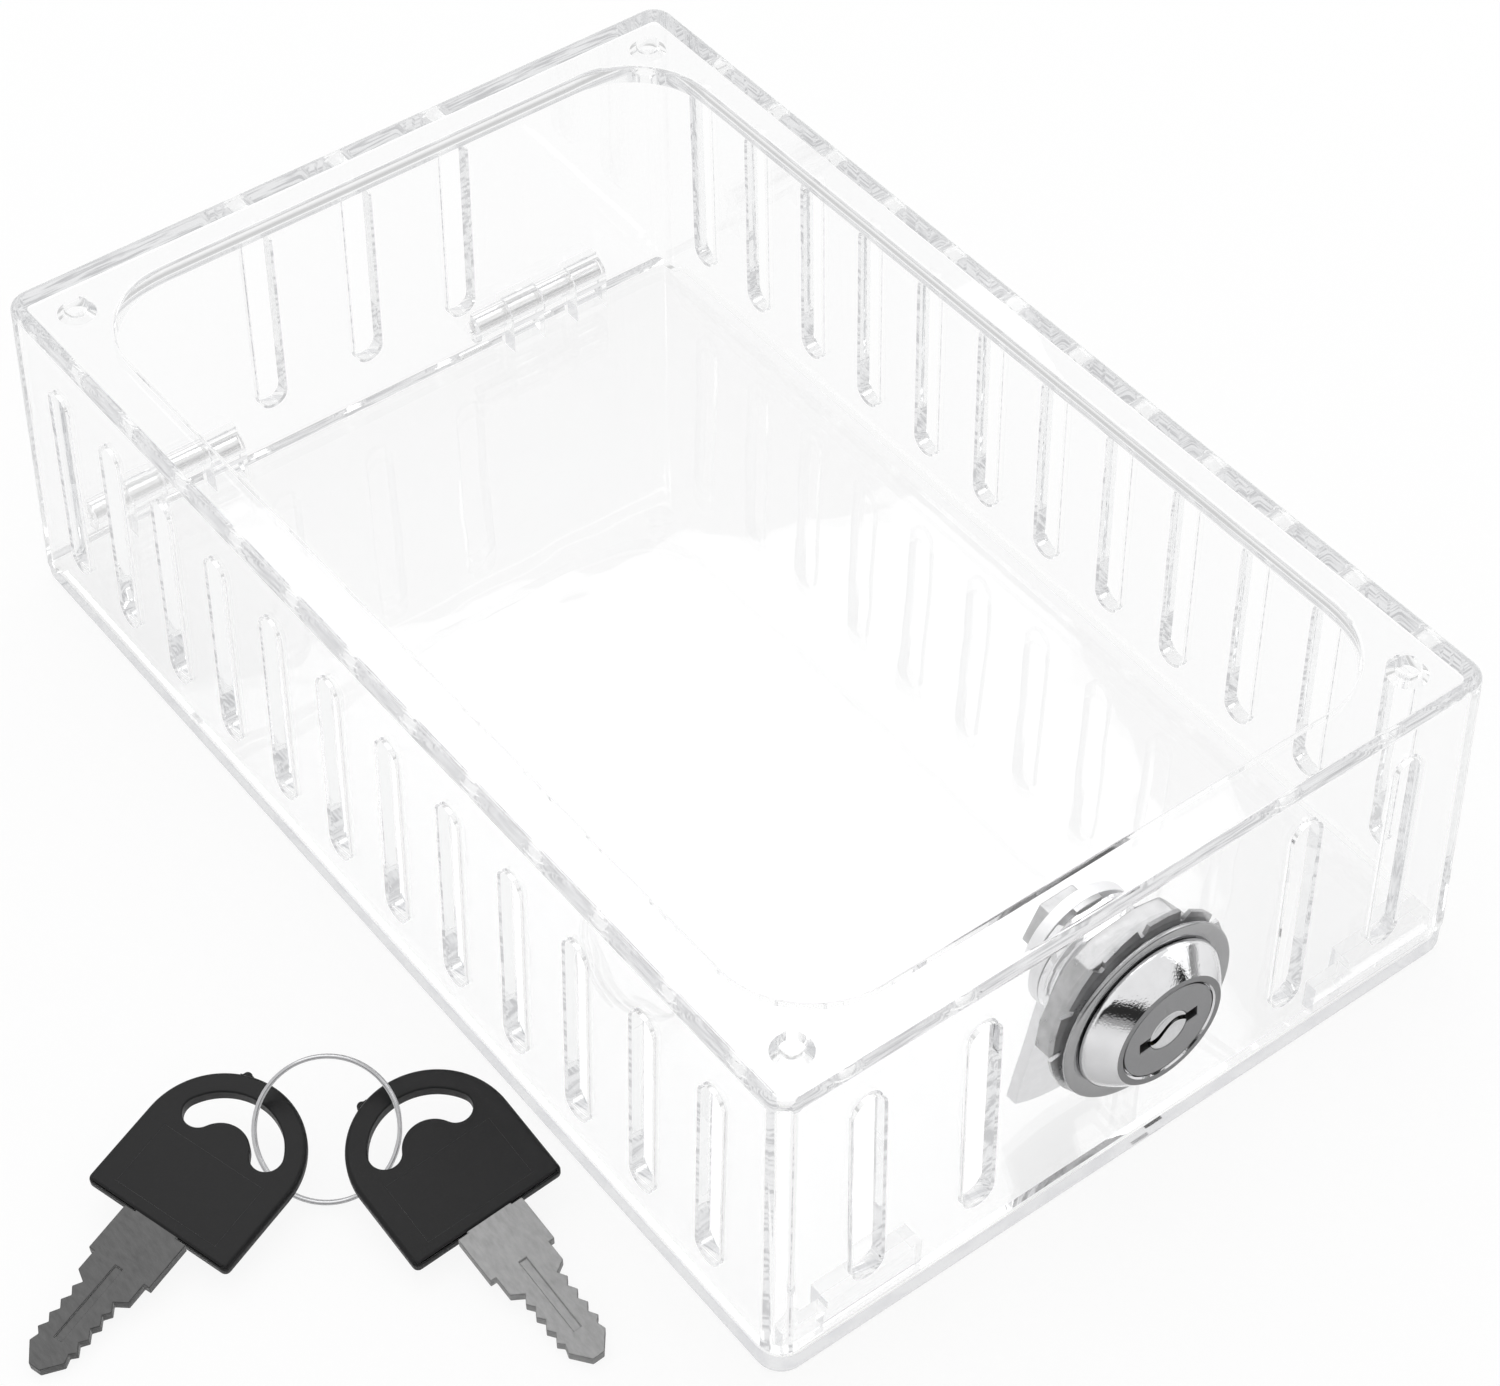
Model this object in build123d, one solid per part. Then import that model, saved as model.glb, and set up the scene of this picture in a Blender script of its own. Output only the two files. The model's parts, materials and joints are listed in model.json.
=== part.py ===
from build123d import *
import os
from math import atan, cos, degrees, pi, radians, sin, sqrt

# A clear lock box for a wall thermostat, as it lies on a table: the hinged
# front panel is underneath and the flange that goes against the wall is on
# top. X runs across the box, Y along it with the lock at -Y and the hinges at
# +Y, and Z is up. The origin is the middle of the front panel's outer face.
# Two keys on a split ring lie beside the box. Sizes are in millimetres.

# Front panel
panel_width = 122.4
panel_length = 189.4
panel_floor = 3.0
panel_corner = 4.0
panel_edge_round = 1.8
rim_width = 2.5
rim_top = 5.5

# Box body
joint_gap = 0.2
box_height = 56.5
wall_lean = 1.2
wall = 2.5
flange = 3.0
body_corner = 3.5
least_corner = 0.5
flange_edge_round = 1.5
side_ledge = 9.2
end_ledge = 9.7
opening_corner = 14.5
opening_edge_round = 0.5

# Screw holes of the flange
screw_inset = 9.2
screw_hole_radius = 1.85
countersink_radius = 2.9
countersink_depth = 1.1

# Ventilation slots
slot_rim_bevel = 0.3
side_slot_pitch = 14.5
side_slot_margin = 14.0
side_slot_width = 4.6
side_slot_bottom = 11.7
side_slot_top = 47.0
lock_slot_width = 4.8
lock_slot_bottom = 12.0
lock_slot_top = 48.5
lock_slot_inset = 15.2
lock_slot_pitch = 18.5
hinge_slot_width = 4.6
hinge_slot_bottom = 13.2
hinge_slot_top = 48.5
hinge_slot_pitch = 18.2
hinge_slots = 3

# Hinges
knuckle_count = 4
hinge_span = 25.2
hinge_right_inset = 16.4
hinge_left_inset = 10.1
knuckle_radius = 2.85
knuckle_gap = 0.3
hinge_inset = 0.4
hinge_lift = 6.6
rim_end_inset = 2.0
pin_radius = 1.3
pin_fit = 0.02
pin_running_gap = 0.06
swing_gap = 0.2
rim_end_gap = 0.15

# Locating tabs of the panel, just inside the lock wall
tab_length = 22.0
tab_thickness = 2.0
tab_low_height = 5.1
tab_high_height = 6.6
tab_low_length = 6.2
tab_back_step = 1.5
tab_gap = 0.3
tab_left_inset = 14.2
tab_right_inset = 15.2

# Lock, along its own axis: 0 is the outer face of the wall, outwards is plus
lock_height = 31.8
collar_radius = 14.4
collar_thickness = 0.7
collar_lip = 0.9
collar_lip_width = 0.8
collar_lip_round = 0.2
collar_groove_thickness = 0.4
collar_groove_width = 0.8
head_radius = 12.0
head_edge = 0.8
face_radius = 9.2
face_edge = 0.25
face_height = 4.9
barrel_radius = 9.3
barrel_end = -11.5
barrel_flat = 8.4
hole_gap = 0.15
thread_gap = 0.05
tooth_washer_radius = 15.0
tooth_washer_thickness = 1.0
tooth_count = 12
tooth_depth = 1.6
tooth_notch_width = 2.0
nut_corner_radius = 14.6
nut_thickness = 4.0
nut_bevel_width = 1.6
nut_bevel_height = 0.9
nut_turn = 6.0

# Plug
plug_radius = 6.2
plug_gap = 0.06
plug_flange_radius = 7.6
plug_flange_gap = 0.2
plug_flange_depth = 1.4
plug_recess = 0.1
keyway_turn = 4.0
keyway_mouth = 9.9
keyway_mouth_depth = 6.0
keyway_length = 7.6
keyway_width = 2.0
keyway_end = -9.5
dimple_radius = 3.2
dimple_depth = 0.9

# Wafers and their springs
wafer_count = 5
wafer_first = 1.2
wafer_pitch = 2.0
wafer_thickness = 0.9
wafer_slot_gap = 0.08
wafer_half_length = 5.1
wafer_half_width = 3.4
wafer_travel = 0.8
wafer_window_length = 7.7
wafer_window_width = 2.3
wafer_lug_start = 1.5
wafer_lug_end = 2.5
wafer_lug_height = 1.2
spring_radius = 0.42
spring_length = 3.2
spring_clear = 0.1
groove_depth = 0.8
groove_half_angle = 38.0

# Cam with its stop washer, lock washer and nut
cam_locked_turn = 15.0
cam_open_turn = 75.0
stop_washer_gap = 0.2
stop_washer_radius = 7.4
stop_washer_thickness = 0.8
stop_tab_radius = 9.0
stop_tab_half_angle = 14.0
stop_boss_inner = 7.8
stop_boss_height = 0.9
stop_play = 1.5
tail_width = 7.4
tail_fit = 0.03
tail_short = 0.25
stud_radius = 3.0
stud_length = 4.0
cam_thickness = 2.0
cam_hub_radius = 9.0
cam_shank_width = 11.0
cam_toe_inner = 21.5
cam_toe_outer = 25.3
cam_toe_angle = 27.0
lock_washer_radius = 5.0
lock_washer_thickness = 0.7
cam_nut_corner_radius = 5.7
cam_nut_thickness = 3.0

# Keeper staple on the panel, which the cam's toe slides under
keeper_start = 6.5
keeper_width = 3.0
keeper_post = 2.0
keeper_side_gap = 0.7
keeper_bar = 2.5
keeper_toe_gap = 0.45

# Keys
key_head_radius = 12.0
key_head_straight = 13.2
key_head_thickness = 2.2
key_head_corner = 0.9
key_head_edge = 0.4
key_hole_radius = 6.6
key_hole_width = 4.6
key_hole_half_angle = 62.0
key_nub_radius = 0.7
key_nub_height = 1.1
key_nub_angle = 20.0
blade_thickness = 1.8
blade_wide = 10.4
blade_wide_length = 7.5
blade_neck = 8.6
blade_neck_length = 3.2
blade_crest = 3.4
blade_valley = 2.6
blade_teeth = 4
blade_tooth_pitch = 2.3
blade_tooth_slope = 1.05
blade_last_slope = 0.8
blade_tip = 3.0
blade_tip_length = 4.7
blade_tip_slope = 2.1
blade_point = 0.9
blade_groove_width = 1.2
blade_groove_depth = 0.4
tang_width = 7.0
tang_length = 5.5
tang_fit = 0.02

# Split ring
ring_radius = 9.85
ring_wire = 0.32
ring_pitch = 1.09
ring_turns = 2

# How the keys lie: both in one plane, tips on the table and heads propped up
# on the ring, which leans through the two heads' holes
keys_beside = 26.8
keys_along = 64.6
keys_heading = -36.0
keys_tilt = 9.6
key_splay = 54.0
key_spread = 14.5
key_drop = 2.0
ring_lean = 31.0
ring_rise = 1.3
table_gap = 0.1

# How far a cut runs past what it cuts
overshoot = 1.0

# Worked out from the sizes above
body_bottom = rim_top + joint_gap
lean_angle = degrees(atan(wall_lean / (box_height - body_bottom)))


def half_size(full, height):
    """Distance from the middle plane to the outer face of a leaning wall at a height."""
    return full / 2 - wall_lean * (height - body_bottom) / (box_height - body_bottom)


opening_width = panel_width - 2 * side_ledge
opening_length = panel_length - 2 * end_ledge
screw_spacing_x = panel_width - 2 * screw_inset
screw_spacing_y = panel_length - 2 * screw_inset
side_slots = 1 + int((panel_length - 2 * side_slot_margin) / side_slot_pitch)
lock_slot_outer = panel_width / 2 - lock_slot_inset
lock_slot_places = (lock_slot_outer - lock_slot_pitch, lock_slot_outer)
hinge_left_start = -panel_width / 2 + hinge_left_inset
hinge_right_start = panel_width / 2 - hinge_right_inset - hinge_span
tab_places = (-panel_width / 2 + tab_left_inset, panel_width / 2 - tab_right_inset)
keys_at = (-panel_width / 2 - keys_beside, -panel_length / 2 + keys_along)
hinge_z = panel_floor + hinge_lift
hinge_y = half_size(panel_length, hinge_z) - wall - hinge_inset
swing_radius = hinge_lift - swing_gap
knuckle_length = (hinge_span - (knuckle_count - 1) * knuckle_gap) / knuckle_count
lock_y = -half_size(panel_length, lock_height)
lock_plane = Plane(
    origin=(0, lock_y, lock_height),
    x_dir=(1, 0, 0),
    z_dir=(0, -cos(radians(lean_angle)), sin(radians(lean_angle))),
)
nut_outer_face = -wall - tooth_washer_thickness
tail_start = barrel_end - stop_washer_gap
cam_front = tail_start - stop_washer_thickness
cam_back = cam_front - cam_thickness
cam_nut_front = cam_back - lock_washer_thickness
key_names = ("key_a", "key_b")


def placed(shape, plane):
    """Move a shape that was built at the origin onto a plane."""
    return plane.location * shape


def leaning_block(width, length, corner, low, high, inset=0.0):
    """A block between two heights whose sides follow the leaning outer walls."""
    outlines = []
    for height in (low, high):
        half_x = half_size(width, height) - inset
        half_y = half_size(length, height) - inset
        radius = max(corner - inset, least_corner)
        outlines.append(Plane.XY.offset(height) * RectangleRounded(2 * half_x, 2 * half_y, radius))
    return loft(outlines, ruled=True)


def cylinder_x(radius, start, end, y, z):
    """A cylinder along X."""
    disc = Plane(origin=(start, y, z), x_dir=(0, 1, 0), z_dir=(1, 0, 0)) * Circle(radius)
    return extrude(disc, amount=end - start)


def block(x0, x1, y0, y1, z0, z1):
    """A box between two corners."""
    solid = Box(x1 - x0, y1 - y0, z1 - z0, align=(Align.MIN, Align.MIN, Align.MIN))
    return Pos(x0, y0, z0) * solid


def disc(radius, low, high):
    """A cylinder along the local Z axis between two heights."""
    return Pos(0, 0, low) * Cylinder(radius, high - low, align=(Align.CENTER, Align.CENTER, Align.MIN))


def revolved(points):
    """A solid turned about the local Z axis from (radius, height) points."""
    outline = Plane.XZ * make_face(Polyline(*points, close=True))
    return revolve(outline, axis=Axis.Z)


def sector(inner, outer, start, end, low, high):
    """A ring sector about the local Z axis; angles in degrees from +X."""
    middle = radians((start + end) / 2)
    edges = []
    for radius in (inner, outer):
        edges.append([(radius * cos(radians(a)), radius * sin(radians(a))) for a in (start, end)])
    lines = (
        ThreePointArc(edges[0][0], (inner * cos(middle), inner * sin(middle)), edges[0][1])
        + Line(edges[0][1], edges[1][1])
        + ThreePointArc(edges[1][1], (outer * cos(middle), outer * sin(middle)), edges[1][0])
        + Line(edges[1][0], edges[0][0])
    )
    return extrude(Plane.XY.offset(low) * make_face(lines), amount=high - low)


def hinge_starts():
    """Where each hinge begins along X."""
    return (hinge_left_start, hinge_right_start)


def knuckle_ranges(start, order):
    """The X ranges of the body's knuckles (order 0) or the panel's knuckles (order 1)."""
    step = knuckle_length + knuckle_gap
    places = [start + i * step for i in range(order, knuckle_count, 2)]
    return [(x, x + knuckle_length) for x in places]


# Front panel
def front_panel():
    outline = RectangleRounded(panel_width, panel_length, panel_corner)
    pan = extrude(outline, amount=rim_top)
    pan = fillet(pan.faces().sort_by(Axis.Z)[0].edges(), panel_edge_round)
    inner = RectangleRounded(
        panel_width - 2 * rim_width, panel_length - 2 * rim_width, panel_corner - rim_width
    )
    pan -= extrude(Plane.XY.offset(panel_floor) * inner, amount=rim_top)
    pan -= hinge_side_clearance()
    for place in tab_places:
        pan += locating_tab(place)
    for start in hinge_starts():
        for x0, x1 in knuckle_ranges(start, 1):
            pan += panel_knuckle(x0, x1)
            pan -= cylinder_x(pin_radius + pin_fit, x0 - knuckle_gap, x1 + knuckle_gap, hinge_y, hinge_z)
    return pan


def hinge_side_clearance():
    """The space in the rim that the body's rounded lower corner turns in."""
    reach = panel_width
    turning = cylinder_x(swing_radius + rim_end_gap, -reach, reach, hinge_y, hinge_z)
    open_side = block(-reach, reach, hinge_y - rim_end_inset, panel_length, panel_floor, rim_top + overshoot)
    return turning + open_side


def locating_tab(place):
    """A tab in two steps: low at its left end, thicker and higher along the rest."""
    front = -(panel_length / 2 - wall - tab_gap)
    back = front + tab_thickness
    x0 = place - tab_length / 2
    x1 = place + tab_length / 2
    low_end = block(x0, x1, front, back, panel_floor, panel_floor + tab_low_height)
    high_end = block(
        x0 + tab_low_length, x1, front, back + tab_back_step, panel_floor, panel_floor + tab_high_height
    )
    return low_end + high_end


def panel_knuckle(x0, x1):
    barrel = cylinder_x(knuckle_radius, x0, x1, hinge_y, hinge_z)
    foot = block(x0, x1, hinge_y - knuckle_radius, hinge_y, panel_floor, hinge_z)
    return barrel + foot


# Box body
def box_body():
    shell = leaning_block(panel_width, panel_length, body_corner, body_bottom, box_height)
    shell = fillet(shell.faces().sort_by(Axis.Z)[-1].edges(), flange_edge_round)
    shell += leaning_block(panel_width, panel_length, body_corner, panel_floor + swing_gap, body_bottom)
    shell -= leaning_block(
        panel_width, panel_length, body_corner, panel_floor, box_height - flange, inset=wall
    )
    shell = trimmed_foot(shell)
    opening = RectangleRounded(opening_width, opening_length, opening_corner)
    shell -= extrude(Plane.XY.offset(box_height - 2 * flange) * opening, amount=3 * flange)
    for start in hinge_starts():
        for x0, x1 in knuckle_ranges(start, 1):
            shell -= knuckle_notch(x0, x1)
        for x0, x1 in knuckle_ranges(start, 0):
            shell += body_knuckle(x0, x1)
            shell -= cylinder_x(
                pin_radius + pin_running_gap, x0 - knuckle_gap, x1 + knuckle_gap, hinge_y, hinge_z
            )
    for hole in screw_holes():
        shell -= hole
    shell -= side_slot_cuts()
    shell -= end_slot_cuts()
    shell -= lock_hole()
    shell = chamfer(slot_rims(shell), slot_rim_bevel)
    return fillet(opening_rim(shell), opening_edge_round)


def slot_rims(shell):
    """The edges round every slot on both faces of its wall; only slots are taller than the collar."""
    rims = []
    for face in shell.faces():
        for wire in face.inner_wires():
            if wire.bounding_box().size.Z > 2 * collar_radius:
                rims += wire.edges()
    return rims


def opening_rim(shell):
    """The upper edge of the flange's opening, the longest hole in the topmost face."""
    top = shell.faces().sort_by(Axis.Z)[-1]
    return max(top.inner_wires(), key=lambda wire: wire.length).edges()


def trimmed_foot(shell):
    """Below the joint only the rounded corner that turns about the hinge stays."""
    reach = panel_width
    below = block(-reach, reach, -panel_length, panel_length, 0, body_bottom)
    round_corner = cylinder_x(swing_radius, -reach, reach, hinge_y, hinge_z)
    outside = block(-reach, reach, hinge_y, panel_length, 0, hinge_z)
    return shell - (below - round_corner) - (outside - round_corner)


def knuckle_notch(x0, x1):
    """Room in the hinge wall for one knuckle of the panel and its foot."""
    top = hinge_z + knuckle_radius + knuckle_gap
    front = hinge_y - knuckle_radius - knuckle_gap
    return block(x0 - knuckle_gap, x1 + knuckle_gap, front, panel_length, panel_floor, top)


def body_knuckle(x0, x1):
    barrel = cylinder_x(knuckle_radius, x0, x1, hinge_y, hinge_z)
    inner_face = half_size(panel_length, hinge_z) - wall
    web = block(
        x0, x1, hinge_y, inner_face + wall / 2, hinge_z - knuckle_radius, hinge_z + knuckle_radius
    )
    return barrel + web


def screw_holes():
    cuts = []
    underside = box_height - flange
    for x in (-screw_spacing_x / 2, screw_spacing_x / 2):
        for y in (-screw_spacing_y / 2, screw_spacing_y / 2):
            hole = disc(screw_hole_radius, underside - overshoot, box_height + overshoot)
            sink = Pos(0, 0, underside) * Cone(
                countersink_radius,
                screw_hole_radius,
                countersink_depth,
                align=(Align.CENTER, Align.CENTER, Align.MIN),
            )
            cuts.append(Pos(x, y, 0) * (hole + sink))
    return cuts


def upright_slot(plane, width, low, high, depth):
    """A slot with round ends that stands upright, cut through along the plane's normal."""
    return extrude(plane * SlotOverall(high - low, width, rotation=90), amount=depth)


def side_slot_cuts():
    cuts = Part()
    middle = (side_slot_bottom + side_slot_top) / 2
    for i in range(side_slots):
        y = (i - (side_slots - 1) / 2) * side_slot_pitch
        plane = Plane(origin=(-panel_width, y, middle), x_dir=(0, 1, 0), z_dir=(1, 0, 0))
        cuts += upright_slot(plane, side_slot_width, side_slot_bottom, side_slot_top, 2 * panel_width)
    return cuts


def end_slot_cuts():
    cuts = Part()
    middle = (lock_slot_bottom + lock_slot_top) / 2
    for place in lock_slot_places:
        for x in (-place, place):
            plane = Plane(origin=(x, -panel_length, middle), x_dir=(-1, 0, 0), z_dir=(0, 1, 0))
            cuts += upright_slot(plane, lock_slot_width, lock_slot_bottom, lock_slot_top, panel_length)
    middle = (hinge_slot_bottom + hinge_slot_top) / 2
    for i in range(hinge_slots):
        x = (i - (hinge_slots - 1) / 2) * hinge_slot_pitch
        plane = Plane(origin=(x, 0, middle), x_dir=(-1, 0, 0), z_dir=(0, 1, 0))
        cuts += upright_slot(plane, hinge_slot_width, hinge_slot_bottom, hinge_slot_top, panel_length)
    return cuts


def barrel_outline(radius, flat):
    """The barrel's section: round with a flat above and below."""
    return Circle(radius) & Rectangle(2 * radius, 2 * flat)


def lock_hole():
    outline = barrel_outline(barrel_radius + hole_gap, barrel_flat + hole_gap)
    cut = extrude(Plane.XY.offset(-2 * wall) * outline, amount=4 * wall)
    return placed(cut, lock_plane)


def hinge_pin(start):
    return cylinder_x(pin_radius, start + knuckle_gap, start + hinge_span - knuckle_gap, hinge_y, hinge_z)


# Lock: fixed pieces
def lock_collar():
    """A flat ring between the wall and the lock's head, with a raised lip and a groove inside it."""
    inner = barrel_radius + hole_gap
    lip_start = collar_radius - collar_lip_width
    groove_start = head_radius + collar_groove_width
    points = [
        (inner, 0),
        (collar_radius - collar_lip_round, 0),
        (collar_radius, collar_lip_round),
        (collar_radius, collar_lip - collar_lip_round),
        (collar_radius - collar_lip_round, collar_lip),
        (lip_start, collar_lip),
        (groove_start, collar_groove_thickness),
        (head_radius, collar_groove_thickness),
        (head_radius, collar_thickness),
        (inner, collar_thickness),
    ]
    return placed(revolved(points), lock_plane)


def lock_housing():
    base = collar_thickness
    head = revolved([
        (0, base),
        (head_radius, base),
        (head_radius, base + head_edge),
        (face_radius, face_height - face_edge),
        (face_radius - face_edge, face_height),
        (0, face_height),
    ])
    low = barrel_end - stop_boss_height
    outline = barrel_outline(barrel_radius, barrel_flat)
    barrel = extrude(Plane.XY.offset(low) * outline, amount=base + head_edge / 2 - low)
    housing = head + barrel - stop_recess()
    bore = plug_radius + plug_gap
    mouth = plug_flange_radius + plug_flange_gap
    low -= overshoot
    high = face_height + overshoot
    housing -= revolved([
        (0, low),
        (bore, low),
        (bore, plug_shoulder()),
        (mouth, plug_shoulder()),
        (mouth, high),
        (0, high),
    ])
    for side in (0, 180):
        housing -= wafer_groove(side)
    return placed(housing, lock_plane)


def plug_shoulder():
    """Height of the seat that the plug's flange rests on."""
    return face_height - plug_recess - plug_flange_depth


def wafer_groove(side):
    """A groove in the bore for the wafers, wide enough for the cam's locking turn."""
    start = side + keyway_turn - groove_half_angle
    end = side + keyway_turn + groove_half_angle + cam_locked_turn
    low = wafer_height(wafer_count - 1) - wafer_thickness
    high = wafer_height(0) + wafer_thickness
    outer = plug_radius + groove_depth
    return sector(plug_radius - overshoot, outer, start, end, low, high)


def stop_recess():
    """What is cut from the barrel's end, so that an arc stays to stop the washer's tab."""
    free_end = 90 + cam_locked_turn + stop_tab_half_angle + stop_play
    free_start = 90 - cam_open_turn - stop_tab_half_angle - stop_play
    low = barrel_end - stop_boss_height - overshoot
    middle = disc(stop_boss_inner, low, barrel_end)
    free = sector(
        stop_boss_inner - overshoot, barrel_radius + overshoot, free_start, free_end, low, barrel_end
    )
    return middle + free


def toothed_washer():
    washer = disc(tooth_washer_radius, nut_outer_face, -wall)
    washer -= disc(barrel_radius + thread_gap, nut_outer_face - overshoot, 0)
    notch_reach = tooth_washer_radius - tooth_depth
    for i in range(tooth_count):
        notch = block(notch_reach, tooth_washer_radius + overshoot, -tooth_notch_width / 2,
                      tooth_notch_width / 2, nut_outer_face - overshoot, 0)
        washer -= Rot(0, 0, i * 360 / tooth_count) * notch
    return placed(washer, lock_plane)


def lock_nut():
    low = nut_outer_face - nut_thickness
    hexagon = RegularPolygon(nut_corner_radius, 6, rotation=nut_turn)
    nut = extrude(Plane.XY.offset(low) * hexagon, amount=nut_thickness)
    nut &= revolved([
        (0, low),
        (nut_corner_radius - nut_bevel_width, low),
        (nut_corner_radius, low + nut_bevel_height),
        (nut_corner_radius, nut_outer_face),
        (0, nut_outer_face),
    ])
    nut -= disc(barrel_radius + thread_gap, low - overshoot, nut_outer_face + overshoot)
    return placed(nut, lock_plane)


# Lock: pieces that turn with the key
def wafer_height(i):
    return wafer_first - i * wafer_pitch


def lock_plug():
    top = face_height - plug_recess
    plug = disc(plug_flange_radius, plug_shoulder(), top) + disc(plug_radius, tail_start, top)
    tail_end = cam_back + tail_short
    plug += Pos(0, 0, tail_end) * Box(
        tail_width, tail_width, tail_start - tail_end, align=(Align.CENTER, Align.CENTER, Align.MIN)
    )
    plug += disc(stud_radius, cam_nut_front - stud_length, tail_end)
    inner = keyway_cuts()
    for i in range(wafer_count):
        inner += wafer_pocket(i)
    return placed(plug - Rot(0, 0, keyway_turn) * inner, lock_plane)


def keyway_cuts():
    top = face_height + overshoot
    mouth = block(-keyway_mouth / 2, keyway_mouth / 2, -keyway_width / 2, keyway_width / 2,
                  face_height - keyway_mouth_depth, top)
    channel = block(-keyway_length / 2, keyway_length / 2, -keyway_width / 2, keyway_width / 2,
                    keyway_end, top)
    dimple = disc(dimple_radius, face_height - plug_recess - dimple_depth, top)
    return mouth + channel + dimple


def wafer_side(i):
    """Wafers face one way and the other in turn."""
    return 1 if i % 2 == 0 else -1


def wafer_pocket(i):
    """Slot for one wafer, with the pocket for its spring and lug."""
    low = wafer_height(i) - wafer_thickness / 2 - wafer_slot_gap
    high = wafer_height(i) + wafer_thickness / 2 + wafer_slot_gap
    half_width = wafer_half_width + wafer_slot_gap
    reach = plug_radius + overshoot
    slot = block(-reach, reach, -half_width, half_width, low, high)
    start = wafer_lug_start - spring_length - 2 * spring_clear
    end = wafer_lug_end + wafer_travel + spring_clear
    lug_room = wafer_half_width + wafer_lug_height + spring_clear
    pocket = block(start, end, 0, lug_room, low, high)
    return flipped(slot + pocket, wafer_side(i))


def flipped(shape, side):
    """Turn a shape half round about the lock's axis for the wafers of the other side."""
    return shape if side > 0 else Rot(0, 0, 180) * shape


def wafer(i):
    low = wafer_height(i) - wafer_thickness / 2
    high = low + wafer_thickness
    plate = block(-wafer_half_length, wafer_half_length, -wafer_half_width, wafer_half_width, low, high)
    lug_top = wafer_half_width + wafer_lug_height
    plate += block(wafer_lug_start, wafer_lug_end, 0, lug_top, low, high)
    half_window = wafer_window_length / 2
    plate -= block(-half_window - wafer_travel, half_window, -wafer_window_width / 2,
                   wafer_window_width / 2, low - overshoot, high + overshoot)
    return placed(Rot(0, 0, keyway_turn) * flipped(plate, wafer_side(i)), lock_plane)


def wafer_springs():
    springs = []
    for i in range(wafer_count):
        y = wafer_half_width + wafer_lug_height / 2
        x0 = wafer_lug_start - spring_clear - spring_length
        spring = cylinder_x(spring_radius, x0, x0 + spring_length, y, wafer_height(i))
        springs.append(placed(Rot(0, 0, keyway_turn) * flipped(spring, wafer_side(i)), lock_plane))
    return Compound(children=springs)


def square_hole(low, high):
    half = tail_width / 2 + tail_fit
    return block(-half, half, -half, half, low, high)


def stop_washer():
    washer = disc(stop_washer_radius, cam_front, tail_start)
    washer += sector(
        stop_washer_radius - overshoot, stop_tab_radius, 90 - stop_tab_half_angle, 90 + stop_tab_half_angle,
        cam_front, tail_start,
    )
    washer -= square_hole(cam_front - overshoot, tail_start + overshoot)
    return placed(washer, lock_plane)


def cam():
    """A hooked lever; it is built pointing down, and the toe runs towards +X."""
    lever = disc(cam_hub_radius, cam_back, cam_front)
    shank = block(-cam_shank_width / 2, cam_shank_width / 2, -cam_toe_outer, 0, cam_back, cam_front)
    lever += shank & disc(cam_toe_outer, cam_back, cam_front)
    lever += sector(cam_toe_inner, cam_toe_outer, 270, 270 + cam_toe_angle, cam_back, cam_front)
    lever = Rot(0, 0, -cam_locked_turn) * lever
    lever -= square_hole(cam_back - overshoot, cam_front + overshoot)
    return placed(lever, lock_plane)


def cam_lock_washer():
    washer = disc(lock_washer_radius, cam_nut_front, cam_back)
    washer -= disc(stud_radius + tail_fit, cam_nut_front - overshoot, cam_back + overshoot)
    return placed(washer, lock_plane)


def cam_nut():
    low = cam_nut_front - cam_nut_thickness
    hexagon = RegularPolygon(cam_nut_corner_radius, 6)
    nut = extrude(Plane.XY.offset(low) * hexagon, amount=cam_nut_thickness)
    nut -= disc(stud_radius + tail_fit, low - overshoot, cam_nut_front + overshoot)
    return placed(nut, lock_plane)


# Keeper
def latch_keeper():
    """A staple that stands over the locked cam's toe."""
    middle = (cam_front + cam_back) / 2
    axis_point = lock_plane.from_local_coords((0, 0, middle))
    toe_point = lock_plane.from_local_coords((0, -cam_toe_inner, middle))
    keeper_end = keeper_start + keeper_width
    reach = cam_toe_inner - keeper_toe_gap
    bar_low = axis_point.Z - sqrt(reach ** 2 - keeper_end ** 2)
    half_gap = cam_thickness / 2 + keeper_side_gap
    outer = half_gap + keeper_post
    staple = block(keeper_start, keeper_end, toe_point.Y - outer, toe_point.Y + outer,
                   panel_floor, bar_low + keeper_bar)
    staple -= block(keeper_start - overshoot, keeper_end + overshoot, toe_point.Y - half_gap,
                    toe_point.Y + half_gap, panel_floor - overshoot, bar_low)
    return staple


# Keys, built flat with the head's round end towards +Y and the tip towards -Y
def keys_plane():
    """The plane that both keys lie in: X from one key to the other, Y up the slope."""
    tip = key_head_straight + blade_length()
    slope = radians(keys_tilt)
    drop = (key_drop + tip * sin(radians(key_splay))) * sin(slope)
    height = table_gap + drop + blade_thickness / 2 * cos(slope)
    return tilted_plane(Vector(*keys_at, height), keys_tilt)


def tilted_plane(origin, tilt):
    """A plane whose X axis is level and whose Y axis rises by an angle."""
    heading = radians(keys_heading)
    rise = radians(tilt)
    across = Vector(cos(heading), sin(heading), 0)
    upwards = Vector(-sin(heading) * cos(rise), cos(heading) * cos(rise), sin(rise))
    return Plane(origin=origin, x_dir=across, z_dir=across.cross(upwards))


def key_location(name):
    side = -1 if name == key_names[0] else 1
    in_plane = Pos(side * key_spread, -key_drop, 0) * Rot(0, 0, side * (90 - key_splay))
    return keys_plane().location * in_plane


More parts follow.
